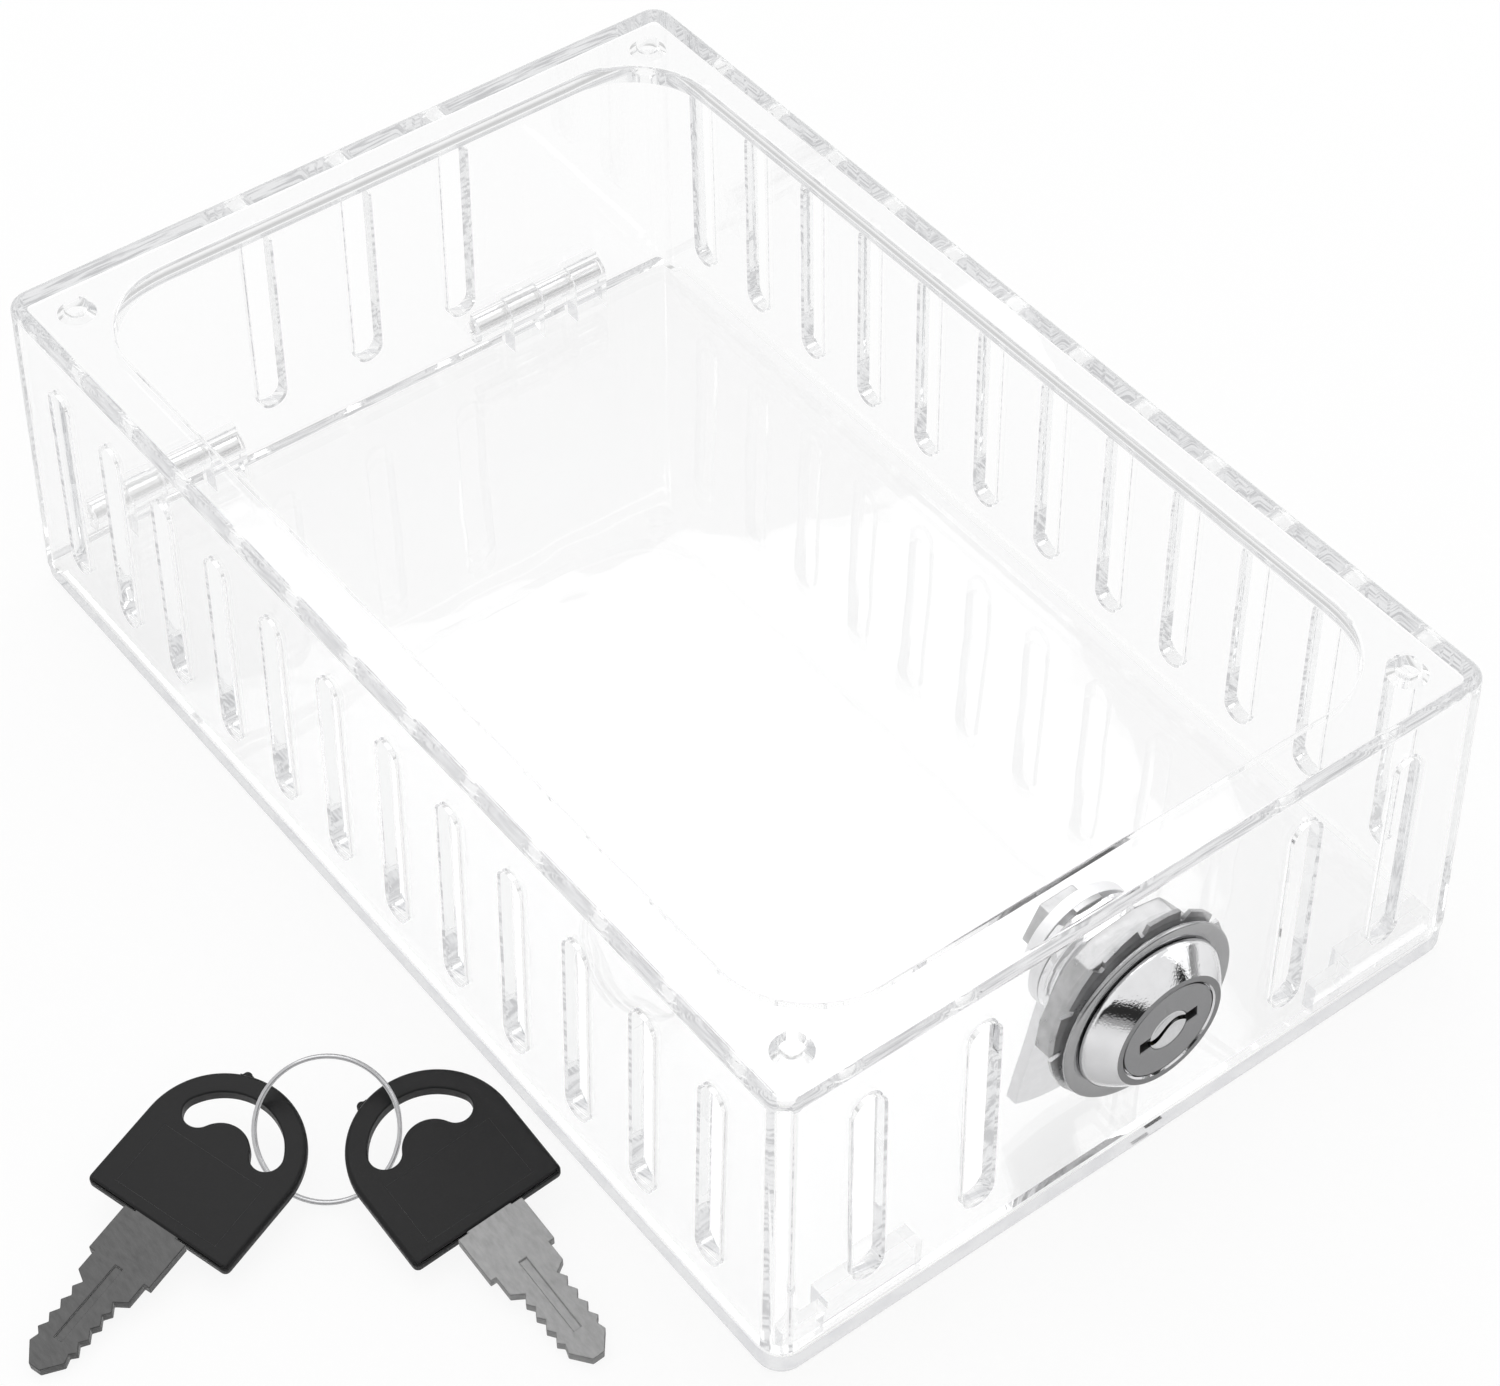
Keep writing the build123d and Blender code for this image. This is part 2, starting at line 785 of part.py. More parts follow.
def key_head(name):
    radius = key_head_radius
    low = -key_head_thickness / 2
    outline = make_face(
        ThreePointArc((radius, 0), (0, radius), (-radius, 0))
        + Polyline((-radius, 0), (-radius, -key_head_straight), (radius, -key_head_straight), (radius, 0))
    )
    corners = outline.vertices().sort_by(Axis.Y)[:2]
    outline = fillet(corners, key_head_corner)
    head = extrude(Plane.XY.offset(low) * outline, amount=key_head_thickness)
    rims = head.edges().filter_by(Plane.XY)
    head = chamfer(rims, key_head_edge)
    head += nub()
    head -= ring_hole()
    half_tang = tang_width / 2 + tang_fit
    half_blade = blade_thickness / 2 + tang_fit
    head -= block(-half_tang, half_tang, -key_head_straight - overshoot,
                  -key_head_straight + tang_length, -half_blade, half_blade)
    return key_location(name) * head


def nub():
    """The small moulding mark on the head's round end."""
    angle = radians(90 + key_nub_angle)
    x = key_head_radius * cos(angle)
    y = key_head_radius * sin(angle)
    return Pos(x, y, 0) * Cylinder(key_nub_radius, key_nub_height)


def ring_hole():
    """A crescent slot that follows the head's round end."""
    start = 90 - key_hole_half_angle
    end = 90 + key_hole_half_angle
    low = -key_head_thickness
    high = key_head_thickness
    inner = key_hole_radius - key_hole_width / 2
    outer = key_hole_radius + key_hole_width / 2
    hole = sector(inner, outer, start, end, low, high)
    for angle in (start, end):
        x = key_hole_radius * cos(radians(angle))
        y = key_hole_radius * sin(radians(angle))
        hole += Pos(x, y, 0) * Cylinder(key_hole_width / 2, high - low)
    return hole


def blade_length():
    """From the head to the tip."""
    return blade_wide_length + blade_neck_length + blade_teeth * blade_tooth_pitch + blade_tip_length


def blade_outline():
    """Half widths and distances from the head, from the tang to the tip."""
    half = [(tang_width / 2, tang_length), (tang_width / 2, 0), (blade_wide / 2, 0),
            (blade_wide / 2, -blade_wide_length), (blade_neck / 2, -blade_wide_length)]
    y = -blade_wide_length - blade_neck_length
    half.append((blade_neck / 2, y))
    for i in range(blade_teeth):
        half.append((blade_valley, y - blade_tooth_slope))
        half.append((blade_crest, y - blade_tooth_pitch))
        y -= blade_tooth_pitch
    half.append((blade_valley, y - blade_last_slope))
    half.append((blade_tip, y - blade_tip_slope))
    half.append((blade_point, y - blade_tip_length))
    mirrored = [(-x, y) for x, y in reversed(half)]
    return [(x, y - key_head_straight) for x, y in half + mirrored]


def key_blade(name):
    low = -blade_thickness / 2
    outline = make_face(Polyline(*blade_outline(), close=True))
    blade = extrude(Plane.XY.offset(low) * outline, amount=blade_thickness)
    groove_start = -key_head_straight - blade_wide_length
    groove_end = groove_start - blade_neck_length - blade_teeth * blade_tooth_pitch
    half = blade_groove_width / 2
    for side in (-1, 1):
        face = side * blade_thickness / 2
        z0, z1 = sorted((face - side * blade_groove_depth, face + side * overshoot))
        blade -= block(-half, half, groove_end, groove_start, z0, z1)
    return key_location(name) * blade


# Split ring
def ring_plane():
    tilt = keys_tilt + ring_lean
    leaning = tilted_plane(keys_plane().origin, tilt)
    return tilted_plane(leaning.origin + leaning.y_dir * ring_rise, tilt)


def helix_point(angle):
    """Point and direction on the ring's coil; the angle is in radians from its middle."""
    climb = ring_pitch / (2 * pi)
    point = Vector(ring_radius * cos(angle), ring_radius * sin(angle), climb * angle)
    direction = Vector(-ring_radius * sin(angle), ring_radius * cos(angle), climb).normalized()
    return point, direction


def biarc(start, start_dir, end, end_dir):
    """Two arcs that leave a point in one direction and arrive in another."""
    chord = end - start
    both = start_dir + end_dir
    spread = 2 * (1 - start_dir.dot(end_dir))
    along = chord.dot(both)
    reach = (-along + sqrt(along ** 2 + spread * chord.dot(chord))) / spread
    first = start + start_dir * reach
    second = end - end_dir * reach
    middle = (first + second) * 0.5
    return [
        TangentArc(start, middle, tangent=start_dir),
        TangentArc(middle, end, tangent=second - first),
    ]


def key_ring():
    """One wire wound twice round; each half turn is two arcs."""
    spans = 4 * ring_turns
    first_angle = -pi * ring_turns
    step = 2 * pi * ring_turns / spans
    arcs = []
    for i in range(spans):
        start = helix_point(first_angle + i * step)
        end = helix_point(first_angle + (i + 1) * step)
        arcs += biarc(start[0], start[1], end[0], end[1])
    path = Wire(arcs)
    start, direction = helix_point(first_angle)
    section = Plane(origin=start, z_dir=direction) * Circle(ring_wire)
    print(f"split ring: least gap between turns {least_ring_gap(path):.2f} mm")
    return placed(sweep(section, path=path), ring_plane())


def least_ring_gap(path):
    """Least distance between the wire's own turns, measured on points along it."""
    count = 240
    points = [path.position_at(i / count) for i in range(count + 1)]
    half_turn = count // (2 * ring_turns)
    least = min(
        (points[j] - points[i]).length
        for i in range(count + 1)
        for j in range(i + half_turn, count + 1)
    )
    return least - 2 * ring_wire


def all_parts():
    parts = {
        "front_panel": front_panel(),
        "latch_keeper": latch_keeper(),
        "box_body": box_body(),
        "hinge_pin_left": hinge_pin(hinge_left_start),
        "hinge_pin_right": hinge_pin(hinge_right_start),
        "lock_collar": lock_collar(),
        "lock_housing": lock_housing(),
        "toothed_washer": toothed_washer(),
        "lock_nut": lock_nut(),
        "lock_plug": lock_plug(),
        "wafer_springs": wafer_springs(),
        "stop_washer": stop_washer(),
        "cam": cam(),
        "cam_lock_washer": cam_lock_washer(),
        "cam_nut": cam_nut(),
        "key_ring": key_ring(),
    }
    for i in range(wafer_count):
        parts[f"wafer_{i + 1}"] = wafer(i)
    for name in key_names:
        parts[f"{name}_head"] = key_head(name)
        parts[f"{name}_blade"] = key_blade(name)
    return parts


def main():
    os.makedirs("parts", exist_ok=True)
    for name, shape in all_parts().items():
        export_step(shape, f"parts/{name}.step")


main()
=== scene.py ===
import json
import math

import bmesh
import bpy
from mathutils import Matrix, Vector

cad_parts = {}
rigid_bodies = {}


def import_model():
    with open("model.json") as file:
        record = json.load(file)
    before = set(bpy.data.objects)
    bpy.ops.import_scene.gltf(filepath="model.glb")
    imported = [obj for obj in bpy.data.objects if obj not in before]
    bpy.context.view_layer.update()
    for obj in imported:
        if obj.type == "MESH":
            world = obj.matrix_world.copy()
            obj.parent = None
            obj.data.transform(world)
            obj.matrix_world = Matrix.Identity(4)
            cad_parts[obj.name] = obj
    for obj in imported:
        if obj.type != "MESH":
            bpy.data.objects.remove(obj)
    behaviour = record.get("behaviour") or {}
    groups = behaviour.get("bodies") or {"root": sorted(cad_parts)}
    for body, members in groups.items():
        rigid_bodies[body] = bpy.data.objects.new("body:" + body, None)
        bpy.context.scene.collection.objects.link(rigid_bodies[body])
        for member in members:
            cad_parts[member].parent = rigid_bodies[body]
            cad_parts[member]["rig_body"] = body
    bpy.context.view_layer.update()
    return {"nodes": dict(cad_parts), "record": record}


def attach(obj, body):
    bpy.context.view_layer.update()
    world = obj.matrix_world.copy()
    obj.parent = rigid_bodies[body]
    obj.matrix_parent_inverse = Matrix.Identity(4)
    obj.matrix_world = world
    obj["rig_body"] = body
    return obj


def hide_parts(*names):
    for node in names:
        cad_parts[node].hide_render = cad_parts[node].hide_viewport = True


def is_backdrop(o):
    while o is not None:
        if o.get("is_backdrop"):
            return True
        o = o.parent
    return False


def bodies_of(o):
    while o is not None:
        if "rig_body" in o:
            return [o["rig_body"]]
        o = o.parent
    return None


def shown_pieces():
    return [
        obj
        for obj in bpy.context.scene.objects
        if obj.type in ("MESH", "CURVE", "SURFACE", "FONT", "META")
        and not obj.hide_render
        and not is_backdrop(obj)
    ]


# A clear ventilated lock box with a cam lock, and its two keys on a split
# ring. Metres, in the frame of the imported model: the front panel lies on the
# floor, X runs across the box, Y from the lock to the hinges, Z up.

bl_info = {
    "name": "Clear lock box",
    "version": (1, 0, 0),
    "blender": (4, 5, 0),
    "location": "View3D > Sidebar > Lock box",
    "description": "Dresses the clear lock box, its cam lock and its keys, and lights them",
    "category": "Object",
}

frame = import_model()

MM = 0.001
WHITE = (1.0, 1.0, 1.0, 1.0)
MERGE_DISTANCE = 0.002 * MM
SAME_RADIUS = 0.01 * MM
FLAT_ANGLE = math.radians(0.6)
BEVEL_ANGLE = math.radians(28)
SMOOTH_BELOW = math.radians(35)
TURNED_SMOOTH_BELOW = math.radians(40)
WIRE_SMOOTH_BELOW = math.radians(50)

# Painted streaks in the glow drawn for light trapped in the plastic: long along the walls, fine in
# height
STREAK_STRETCH = (0.4, 0.4, 3.0)
STREAK_FROM = 0.38
STREAK_TO = 0.56
PANEL_STREAKS = 1.35

# Lock axis: its foot on the outer face of the lock wall, and its tilt
LOCK_FOOT = Vector((0, -94.0835, 31.8)) * MM
LOCK_LEAN = math.radians(1.3532)

# The lock's sizes, along and round its own axis
WALL = 2.5 * MM
COLLAR_RADIUS = 14.4 * MM
COLLAR_HOLE = 9.5 * MM
COLLAR_LIP = 0.9 * MM
COLLAR_BEAD_INSET = 1.44 * MM
COLLAR_BEAD_RADIUS = 0.405 * MM
COLLAR_SEAT = 0.62 * MM
COLLAR_SEAT_EDGE = 12.3 * MM
COLLAR_STEPS = 120
HEAD_BASE = 0.7 * MM
HEAD_EDGE = 0.8 * MM
HEAD_RADIUS = 12.0 * MM
HEAD_BEVEL = 0.18 * MM
HOUSING_STEPS = 144
CONE_STEPS = 8
CONE_SWELL = 0.12 * MM
FACE = 4.9 * MM
FACE_RADIUS = 9.2 * MM
FACE_BEVEL = 0.22 * MM
MOUTH = 7.8 * MM
SEAT = 3.38 * MM
SEAT_RELIEF = 0.25 * MM
BORE = 6.26 * MM
GROOVE_RADIUS = 7.0 * MM
GROOVE_LOW = -7.7 * MM
GROOVE_HIGH = 2.1 * MM
GROOVE_BEFORE = math.radians(38.0)
GROOVE_AFTER = math.radians(53.0)
BARREL_END = -11.5 * MM
BARREL_FLAT = 8.4 * MM
STOP_END = -12.4 * MM
STOP_INNER = 7.8 * MM
STOP_START = math.radians(121.0)
STOP_SPAN = math.radians(238.0)
THREAD_RADIUS = 9.3 * MM
THREAD_PITCH = 1.0 * MM
THREAD_DEPTH = 0.5 * MM
THREAD_STEPS = 6
WASHER_RADIUS = 15.0 * MM
WASHER_HOLE = 9.35 * MM
WASHER_THICKNESS = 1.0 * MM
WASHER_SHEET = 0.6 * MM
WASHER_TOOTH = 1.6 * MM
WASHER_TEETH = 12
NUT_BEVEL = 0.25 * MM
CAM_BEVEL = 0.2 * MM
PLUG_BEVEL = 0.16 * MM
PLUG_RECESS = 0.1 * MM
KEYWAY_TURN = math.radians(4.0)
BOWL_RADIUS = 3.14 * MM
BOWL_DEPTH = 0.88 * MM
BOWL_HOLE = 0.2 * MM
BOWL_EDGE = 0.12 * MM
BOWL_RIM_DROP = 0.03 * MM
BOWL_POINTS = 12
BOWL_STEPS = 72
BOWL_DISH = 0.45 * MM
SLOT_WIDTH = 1.0 * MM
SLOT_SWAY = 0.8 * MM
SLOT_OVERRUN = 0.3 * MM
SLOT_REACH = 2.0 * MM
SLOT_STEPS = 24

# One tooth of the washer: share of the way to the next tooth, reach of the tip, twist of the tip
WASHER_TOOTH_STEPS = ((0.0, 0, 0), (0.09, 0, 0), (0.16, 1, -1), (0.5, 1, 0), (0.93, 1, 1))

# How much darker or lighter than its setting a colour is: painted light and shade on collar, cam,
# key blades
# Painted shade: the collar is drawn as the chrome at half its colour
COLLAR_PAINTED_SHADE = 0.5
# Painted light: the cam is drawn as the zinc made lighter
CAM_PAINTED_LIGHT = 2.1
FACE_SHADE = 0.8
BOWL_SHADE = 0.85
# Painted shade on the left key's blade, painted light on the right key's blade
KEY_PAINTED_LIGHT_AND_SHADE = {"key_a": 0.5, "key_b": 1.35}
PIN_STEEL = (0.88, 0.88, 0.88)
RING_STEEL = (0.50, 0.50, 0.51)

# The keys' plane
KEYS_AT = Vector((-88.0, -30.1, 6.4209)) * MM
KEYS_HEADING = math.radians(-36.0)
KEYS_TILT = math.radians(9.6)
KEY_SPLAY = math.radians(54.0)
KEY_SPREAD = 14.5 * MM
KEY_DROP = 2.0 * MM
KEY_HALF_THICKNESS = 1.1 * MM
KEY_HEAD_BEVEL = 0.28 * MM
KEY_BLADE_BEVEL = 0.12 * MM
FRAME_HALF_WIDTH = 8.6 * MM
FRAME_LOW = -11.2 * MM
FRAME_HIGH = -0.8 * MM
FRAME_LINE = 0.22 * MM
FRAME_RISE = 0.05 * MM
RING_LEAN = math.radians(31.0)
RING_RISE = 1.3 * MM
RING_STEPS = 96
RING_SIDES = 12
RING_END_SHARE = 0.6
RING_END_STEPS = 4

# Studio: lamps as name, setting, size and place; grey bands as height and shade, seen by rays
# that metal mirrors and by rays that come through the plastic
FLOOR_REACH = 3.0
FLOOR_DROP = 0.1 * MM
LAMPS = (
    ("overhead_light", "key_light", 0.9, (0.1, 0.35, 0.95)),
    ("side_light", "side_light", 0.6, (0.8, -0.4, 0.5)),
)
MIRRORED_BANDS = ((0.0, 0.5), (0.15, 0.32), (0.19, 0.03), (0.39, 0.03), (0.45, 0.95))
THROUGH_BANDS = ((0.06, 1.0), (0.14, 0.66), (0.34, 0.60), (0.50, 0.95))
BANDS_FADE_FROM = -0.3
CAMERA_LENS = 88.234
CAMERA_PLACE = (-0.22318, -0.29959, 0.41085)
CAMERA_TURN = (43.1377, -0.1116, -37.4286)


class ClearPlasticSettings(bpy.types.PropertyGroup):
    """Clear moulded plastic of the box and its front panel."""

    tint: bpy.props.FloatVectorProperty(
        name="Tint", description="Colour of the plastic's surface", subtype="COLOR",
        default=(1.0, 1.0, 1.0), min=0.0, max=1.0)
    refraction: bpy.props.FloatProperty(
        name="Refractive index", description="How strongly the plastic bends light", default=1.49,
        min=1.0, max=2.0)
    haze: bpy.props.FloatProperty(
        name="Haze", description="Roughness of the moulded faces", subtype="FACTOR", default=0.012,
        min=0.0, max=1.0)
    depth_tint: bpy.props.FloatVectorProperty(
        name="Depth tint", description="Colour that light takes in a long way through the plastic",
        subtype="COLOR", default=(0.72, 0.73, 0.74), min=0.0, max=1.0)
    depth_density: bpy.props.FloatProperty(
        name="Depth density", description="How fast the plastic takes up light, per metre",
        default=14.0, min=0.0, max=200.0)
    trapped_after: bpy.props.FloatProperty(
        name="Trapped after", default=3.5, min=0.5, max=3.9,
        description="Bounces after which light inside a wall is spread evenly")
    trapped_colour: bpy.props.FloatVectorProperty(
        name="Trapped colour", description="Colour of the light that stays inside the walls",
        subtype="COLOR", default=(0.90, 0.90, 0.905), min=0.0, max=1.0)
    trapped_dark: bpy.props.FloatVectorProperty(
        name="Trapped dark", description="Colour of the darker streaks in the trapped light",
        subtype="COLOR", default=(0.62, 0.62, 0.63), min=0.0, max=1.0)
    trapped_scale: bpy.props.FloatProperty(
        name="Streak scale", description="Streaks per metre in the trapped light", default=420.0,
        min=1.0, max=5000.0)
    ripple: bpy.props.FloatProperty(
        name="Ripple", description="Height of the moulding's gentle waves", subtype="DISTANCE",
        unit="LENGTH", default=0.00009, min=0.0, max=0.001, precision=6)
    ripple_size: bpy.props.FloatProperty(
        name="Ripple scale", description="Waves per metre", default=55.0, min=1.0, max=500.0)


class MetalSettings(bpy.types.PropertyGroup):
    """Chrome, zinc plated and nickel plated pieces."""

    chrome: bpy.props.FloatVectorProperty(
        name="Chrome", description="Colour of the lock's plated head", subtype="COLOR",
        default=(0.80, 0.80, 0.81), min=0.0, max=1.0)
    face: bpy.props.FloatVectorProperty(
        name="Plug face", description="Colour of the plug's satin face", subtype="COLOR",
        default=(0.30, 0.30, 0.305), min=0.0, max=1.0)
    zinc: bpy.props.FloatVectorProperty(
        name="Zinc plate", description="Colour of the washers, the nut and the cam",
        subtype="COLOR", default=(0.42, 0.42, 0.425), min=0.0, max=1.0)
    key_steel: bpy.props.FloatVectorProperty(
        name="Key steel", description="Colour of the key blades", subtype="COLOR",
        default=(0.17, 0.17, 0.17), min=0.0, max=1.0)
    wafer: bpy.props.FloatVectorProperty(
        name="Wafer brass", description="Colour of the wafers inside the plug", subtype="COLOR",
        default=(0.62, 0.48, 0.22), min=0.0, max=1.0)


class KeySettings(bpy.types.PropertyGroup):
    """Key heads and the split ring."""

    plastic: bpy.props.FloatVectorProperty(
        name="Head plastic", description="Colour of the moulded key heads", subtype="COLOR",
        default=(0.007, 0.007, 0.0075), min=0.0, max=1.0)
    ring_radius: bpy.props.FloatProperty(
        name="Ring radius", description="Middle of the wire to the ring's centre",
        subtype="DISTANCE", unit="LENGTH", default=9.85 * MM, min=0.001, max=0.05)
    ring_wire: bpy.props.FloatProperty(
        name="Ring wire radius", description="Radius of the ring's wire", subtype="DISTANCE",
        unit="LENGTH", default=0.32 * MM, min=0.0001, max=0.005)
    ring_pitch: bpy.props.FloatProperty(
        name="Ring pitch", description="Distance between the ring's turns", subtype="DISTANCE",
        unit="LENGTH", default=1.09 * MM, min=0.0001, max=0.005)
    ring_turns: bpy.props.IntProperty(
        name="Ring turns", description="Turns of wire in the ring", default=2, min=1, max=4)


class StageSettings(bpy.types.PropertyGroup):
    """Floor, light and camera."""

    floor: bpy.props.FloatVectorProperty(
        name="Floor", description="Colour of the floor", subtype="COLOR",
        default=(0.93, 0.93, 0.93), min=0.0, max=1.0)
    floor_glow: bpy.props.FloatProperty(
        name="Floor white", description="How far the floor is seen as plain white",
        subtype="FACTOR", default=0.90, min=0.0, max=1.0)
    sky: bpy.props.FloatProperty(
        name="Sky strength", description="Strength of the even light from all round", default=0.75,
        min=0.0, max=5.0)
    key_light: bpy.props.FloatProperty(
        name="Overhead light", description="Power of the large lamp above the box", subtype="POWER",
        default=3.0, min=0.0, max=200.0)
    side_light: bpy.props.FloatProperty(
        name="Side light", description="Power of the lamp at the right", subtype="POWER",
        default=1.4, min=0.0, max=200.0)


def new_node(tree, kind, x=0, y=0):
    """A shader node at its place in the node editor."""
    node = tree.nodes.new(f"ShaderNode{kind}")
    node.location = (x, y)
    return node


def new_material(name):
    """An empty node material with its Principled shader and output."""
    mat = bpy.data.materials.new(name)
    mat.use_nodes = True
    tree = mat.node_tree
    tree.nodes.clear()
    out = new_node(tree, "OutputMaterial", 600, 0)
    shader = new_node(tree, "BsdfPrincipled", 300, 0)
    tree.links.new(shader.outputs["BSDF"], out.inputs["Surface"])
    return mat, tree, shader, out


def object_noise(tree, scale, detail=2.0, stretch=(1.0, 1.0, 1.0)):
    """Noise on the object's own coordinates, in metres."""
    coords = new_node(tree, "TexCoord", -900, 0)
    mapping = new_node(tree, "Mapping", -700, 0)
    mapping.inputs["Scale"].default_value = stretch
    noise = new_node(tree, "TexNoise", -500, 0)
    noise.inputs["Scale"].default_value = scale
    noise.inputs["Detail"].default_value = detail
    tree.links.new(coords.outputs["Object"], mapping.inputs["Vector"])
    tree.links.new(mapping.outputs["Vector"], noise.inputs["Vector"])
    return noise


def add_bump(tree, shader, source, height):
    """A bump of a real height from a texture's factor."""
    bump = new_node(tree, "Bump", 50, -300)
    bump.inputs["Strength"].default_value = 1.0
    bump.inputs["Distance"].default_value = height
    tree.links.new(source.outputs["Fac"], bump.inputs["Height"])
    tree.links.new(bump.outputs["Normal"], shader.inputs["Normal"])


def vary_roughness(tree, shader, source, low, high):
    """Roughness between two values along a texture's factor."""
    span = new_node(tree, "MapRange", -100, -100)
    span.inputs["To Min"].default_value = low
    span.inputs["To Max"].default_value = high
    tree.links.new(source.outputs["Fac"], span.inputs["Value"])
    tree.links.new(span.outputs["Result"], shader.inputs["Roughness"])


def colour_between(tree, factor, low, high, x=0, y=0):
    """The colour between two others along a factor; either may be a colour or a node's output."""
    mix = new_node(tree, "Mix", x, y)
    mix.data_type = "RGBA"
    for socket, colour in ((mix.inputs["A"], low), (mix.inputs["B"], high)):
        if isinstance(colour, bpy.types.NodeSocket):
            tree.links.new(colour, socket)
        else:
            socket.default_value = colour
    tree.links.new(factor, mix.inputs["Factor"])
    return mix.outputs["Result"]


def show_mix(tree, out, factor, first, second):
    """Send a mix of two shaders to the output: the second where the factor is 1."""
    mix = new_node(tree, "MixShader", 500, 200)
    tree.links.new(factor, mix.inputs["Fac"])
    tree.links.new(first.outputs[0], mix.inputs[1])
    tree.links.new(second.outputs[0], mix.inputs[2])
    tree.links.new(mix.outputs[0], out.inputs["Surface"])


def mirrored_more_than(tree, bounces):
    """1 for rays that have been mirrored more than this many times."""
    rays = new_node(tree, "LightPath", 0, 500)
    more = new_node(tree, "Math", 200, 500)
    more.operation = "GREATER_THAN"
    more.inputs[1].default_value = bounces
    tree.links.new(rays.outputs["Glossy Depth"], more.inputs[0])
    return more.outputs[0]


def shaded(colour, factor):
    """A colour made darker or lighter, with its alpha."""
    return (*(min(1.0, c * factor) for c in colour[:3]), 1.0)


def clear_plastic_material(name, settings, streaks=1.0):
    """Clear plastic; streaks makes the painted dark streaks of its glow for trapped light lighter
    or darker.
    """
    mat, tree, shader, out = new_material(name)
    shader.inputs["Base Color"].default_value = shaded(settings.tint, 1.0)
    shader.inputs["Transmission Weight"].default_value = 1.0
    shader.inputs["IOR"].default_value = settings.refraction
    shader.inputs["Roughness"].default_value = settings.haze
    ripple = object_noise(tree, settings.ripple_size, detail=1.0)
    add_bump(tree, shader, ripple, settings.ripple)
    depth = new_node(tree, "VolumeAbsorption", 300, -500)
    depth.inputs["Color"].default_value = shaded(settings.depth_tint, 1.0)
    depth.inputs["Density"].default_value = settings.depth_density
    tree.links.new(depth.outputs["Volume"], out.inputs["Volume"])
    glow_when_trapped(tree, shader, out, settings, streaks)
    return mat


def glow_when_trapped(tree, shader, out, settings, streaks):
    """Painted glow: light that has bounced many times inside a wall is drawn as a pale grey
    emission with painted darker streaks.
    """
    noise = object_noise(tree, settings.trapped_scale, detail=2.0, stretch=STREAK_STRETCH)
    spread = new_node(tree, "MapRange", -100, 400)
    spread.interpolation_type = "SMOOTHSTEP"
    spread.inputs["From Min"].default_value = STREAK_FROM
    spread.inputs["From Max"].default_value = STREAK_TO
    tree.links.new(noise.outputs["Fac"], spread.inputs["Value"])
    dark = shaded(settings.trapped_dark, streaks)
    pale = shaded(settings.trapped_colour, 1.0)
    # Painted light: an emission that the plastic shows after many mirrorings
    glow = new_node(tree, "Emission", 300, 250)
    glow.inputs["Strength"].default_value = 1.0
    colour = colour_between(tree, spread.outputs["Result"], dark, pale, 100, 400)
    tree.links.new(colour, glow.inputs["Color"])
    show_mix(tree, out, mirrored_more_than(tree, settings.trapped_after), shader, glow)


def clear_after_mirror(tree, shader, out):
    """Let mirrored rays through, so that the dark keys leave no bars in the clear walls."""
    through = new_node(tree, "BsdfTransparent", 300, 250)
    show_mix(tree, out, mirrored_more_than(tree, 0), shader, through)


def grained_material(
        name, colour, shades, rough, grain, detail=4.0, stretch=(1.0, 1.0, 1.0), bump=0.0,
        metallic=1.0):
    """A finish whose colour and polish vary with one grain; bump is the grain's height."""
    mat, tree, shader, out = new_material(name)
    shader.inputs["Metallic"].default_value = metallic
    source = object_noise(tree, grain, detail, stretch)
    low, high = shades
    colours = colour_between(
        tree, source.outputs["Fac"], shaded(colour, low), shaded(colour, high), -100, 200)
    tree.links.new(colours, shader.inputs["Base Color"])
    vary_roughness(tree, shader, source, *rough)
    if bump:
        add_bump(tree, shader, source, bump)
    return mat, tree, shader, out


def metal_material(name, colour, rough, grain, clouding=0.11, **more):
    """Metal with fine streaks or mottling in its polish."""
    return grained_material(name, colour, (1 - clouding, 1 + clouding), rough, grain, **more)[0]


def chrome_material(settings):
    """Bright plating with fine pits and faint clouding."""
    mat, tree, shader, _ = grained_material(
        "chrome", settings.chrome, shades=(0.86, 1.12), rough=(0.03, 0.10), grain=260.0, detail=5.0)
    pits = object_noise(tree, scale=3200.0)
    add_bump(tree, shader, pits, height=0.015 * MM)
    return mat


def blade_material(name, colour):
    """Rolled steel with fine lines along the key and a mottled plating."""
    mat, tree, shader, out = grained_material(
        name, colour, shades=(0.55, 1.5), rough=(0.28, 0.55), grain=1500.0, detail=6.0,
        stretch=(1.0, 0.35, 1.0), bump=0.05 * MM)
    clear_after_mirror(tree, shader, out)
    return mat


def key_plastic_material(settings):
    """Black moulded plastic with a fine satin grain."""
    mat, tree, shader, out = grained_material(
        "key_plastic", settings.plastic, shades=(0.8, 1.3), rough=(0.34, 0.5), grain=2600.0,
        detail=3.0, bump=0.02 * MM, metallic=0.0)
    shader.inputs["Specular IOR Level"].default_value = 0.22
    clear_after_mirror(tree, shader, out)
    return mat


def give(obj, mat):
    """Put one material on every face of an object."""
    obj.data.materials.clear()
    obj.data.materials.append(mat)


def placed_object(name, bm):
    """An object in the scene from a bmesh, which is let go."""
    mesh = bpy.data.meshes.new(name)
    bm.to_mesh(mesh)
    bm.free()
    obj = bpy.data.objects.new(name, mesh)
    bpy.context.scene.collection.objects.link(obj)
    return obj


def mesh_piece(name, bm, mat, body, smooth_below=SMOOTH_BELOW):
    """Turn a bmesh into a piece that rides on a body."""
    bmesh.ops.recalc_face_normals(bm, faces=bm.faces)
    obj = placed_object(name, bm)
    obj.data.shade_smooth()
    obj.data.set_sharp_from_angle(angle=smooth_below)
    give(obj, mat)
    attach(obj, body)
    return obj


def body_of(node):
    """The body that a CAD node belongs to."""
    for body, nodes in frame["record"]["behaviour"]["bodies"].items():
        if node in nodes:
            return body


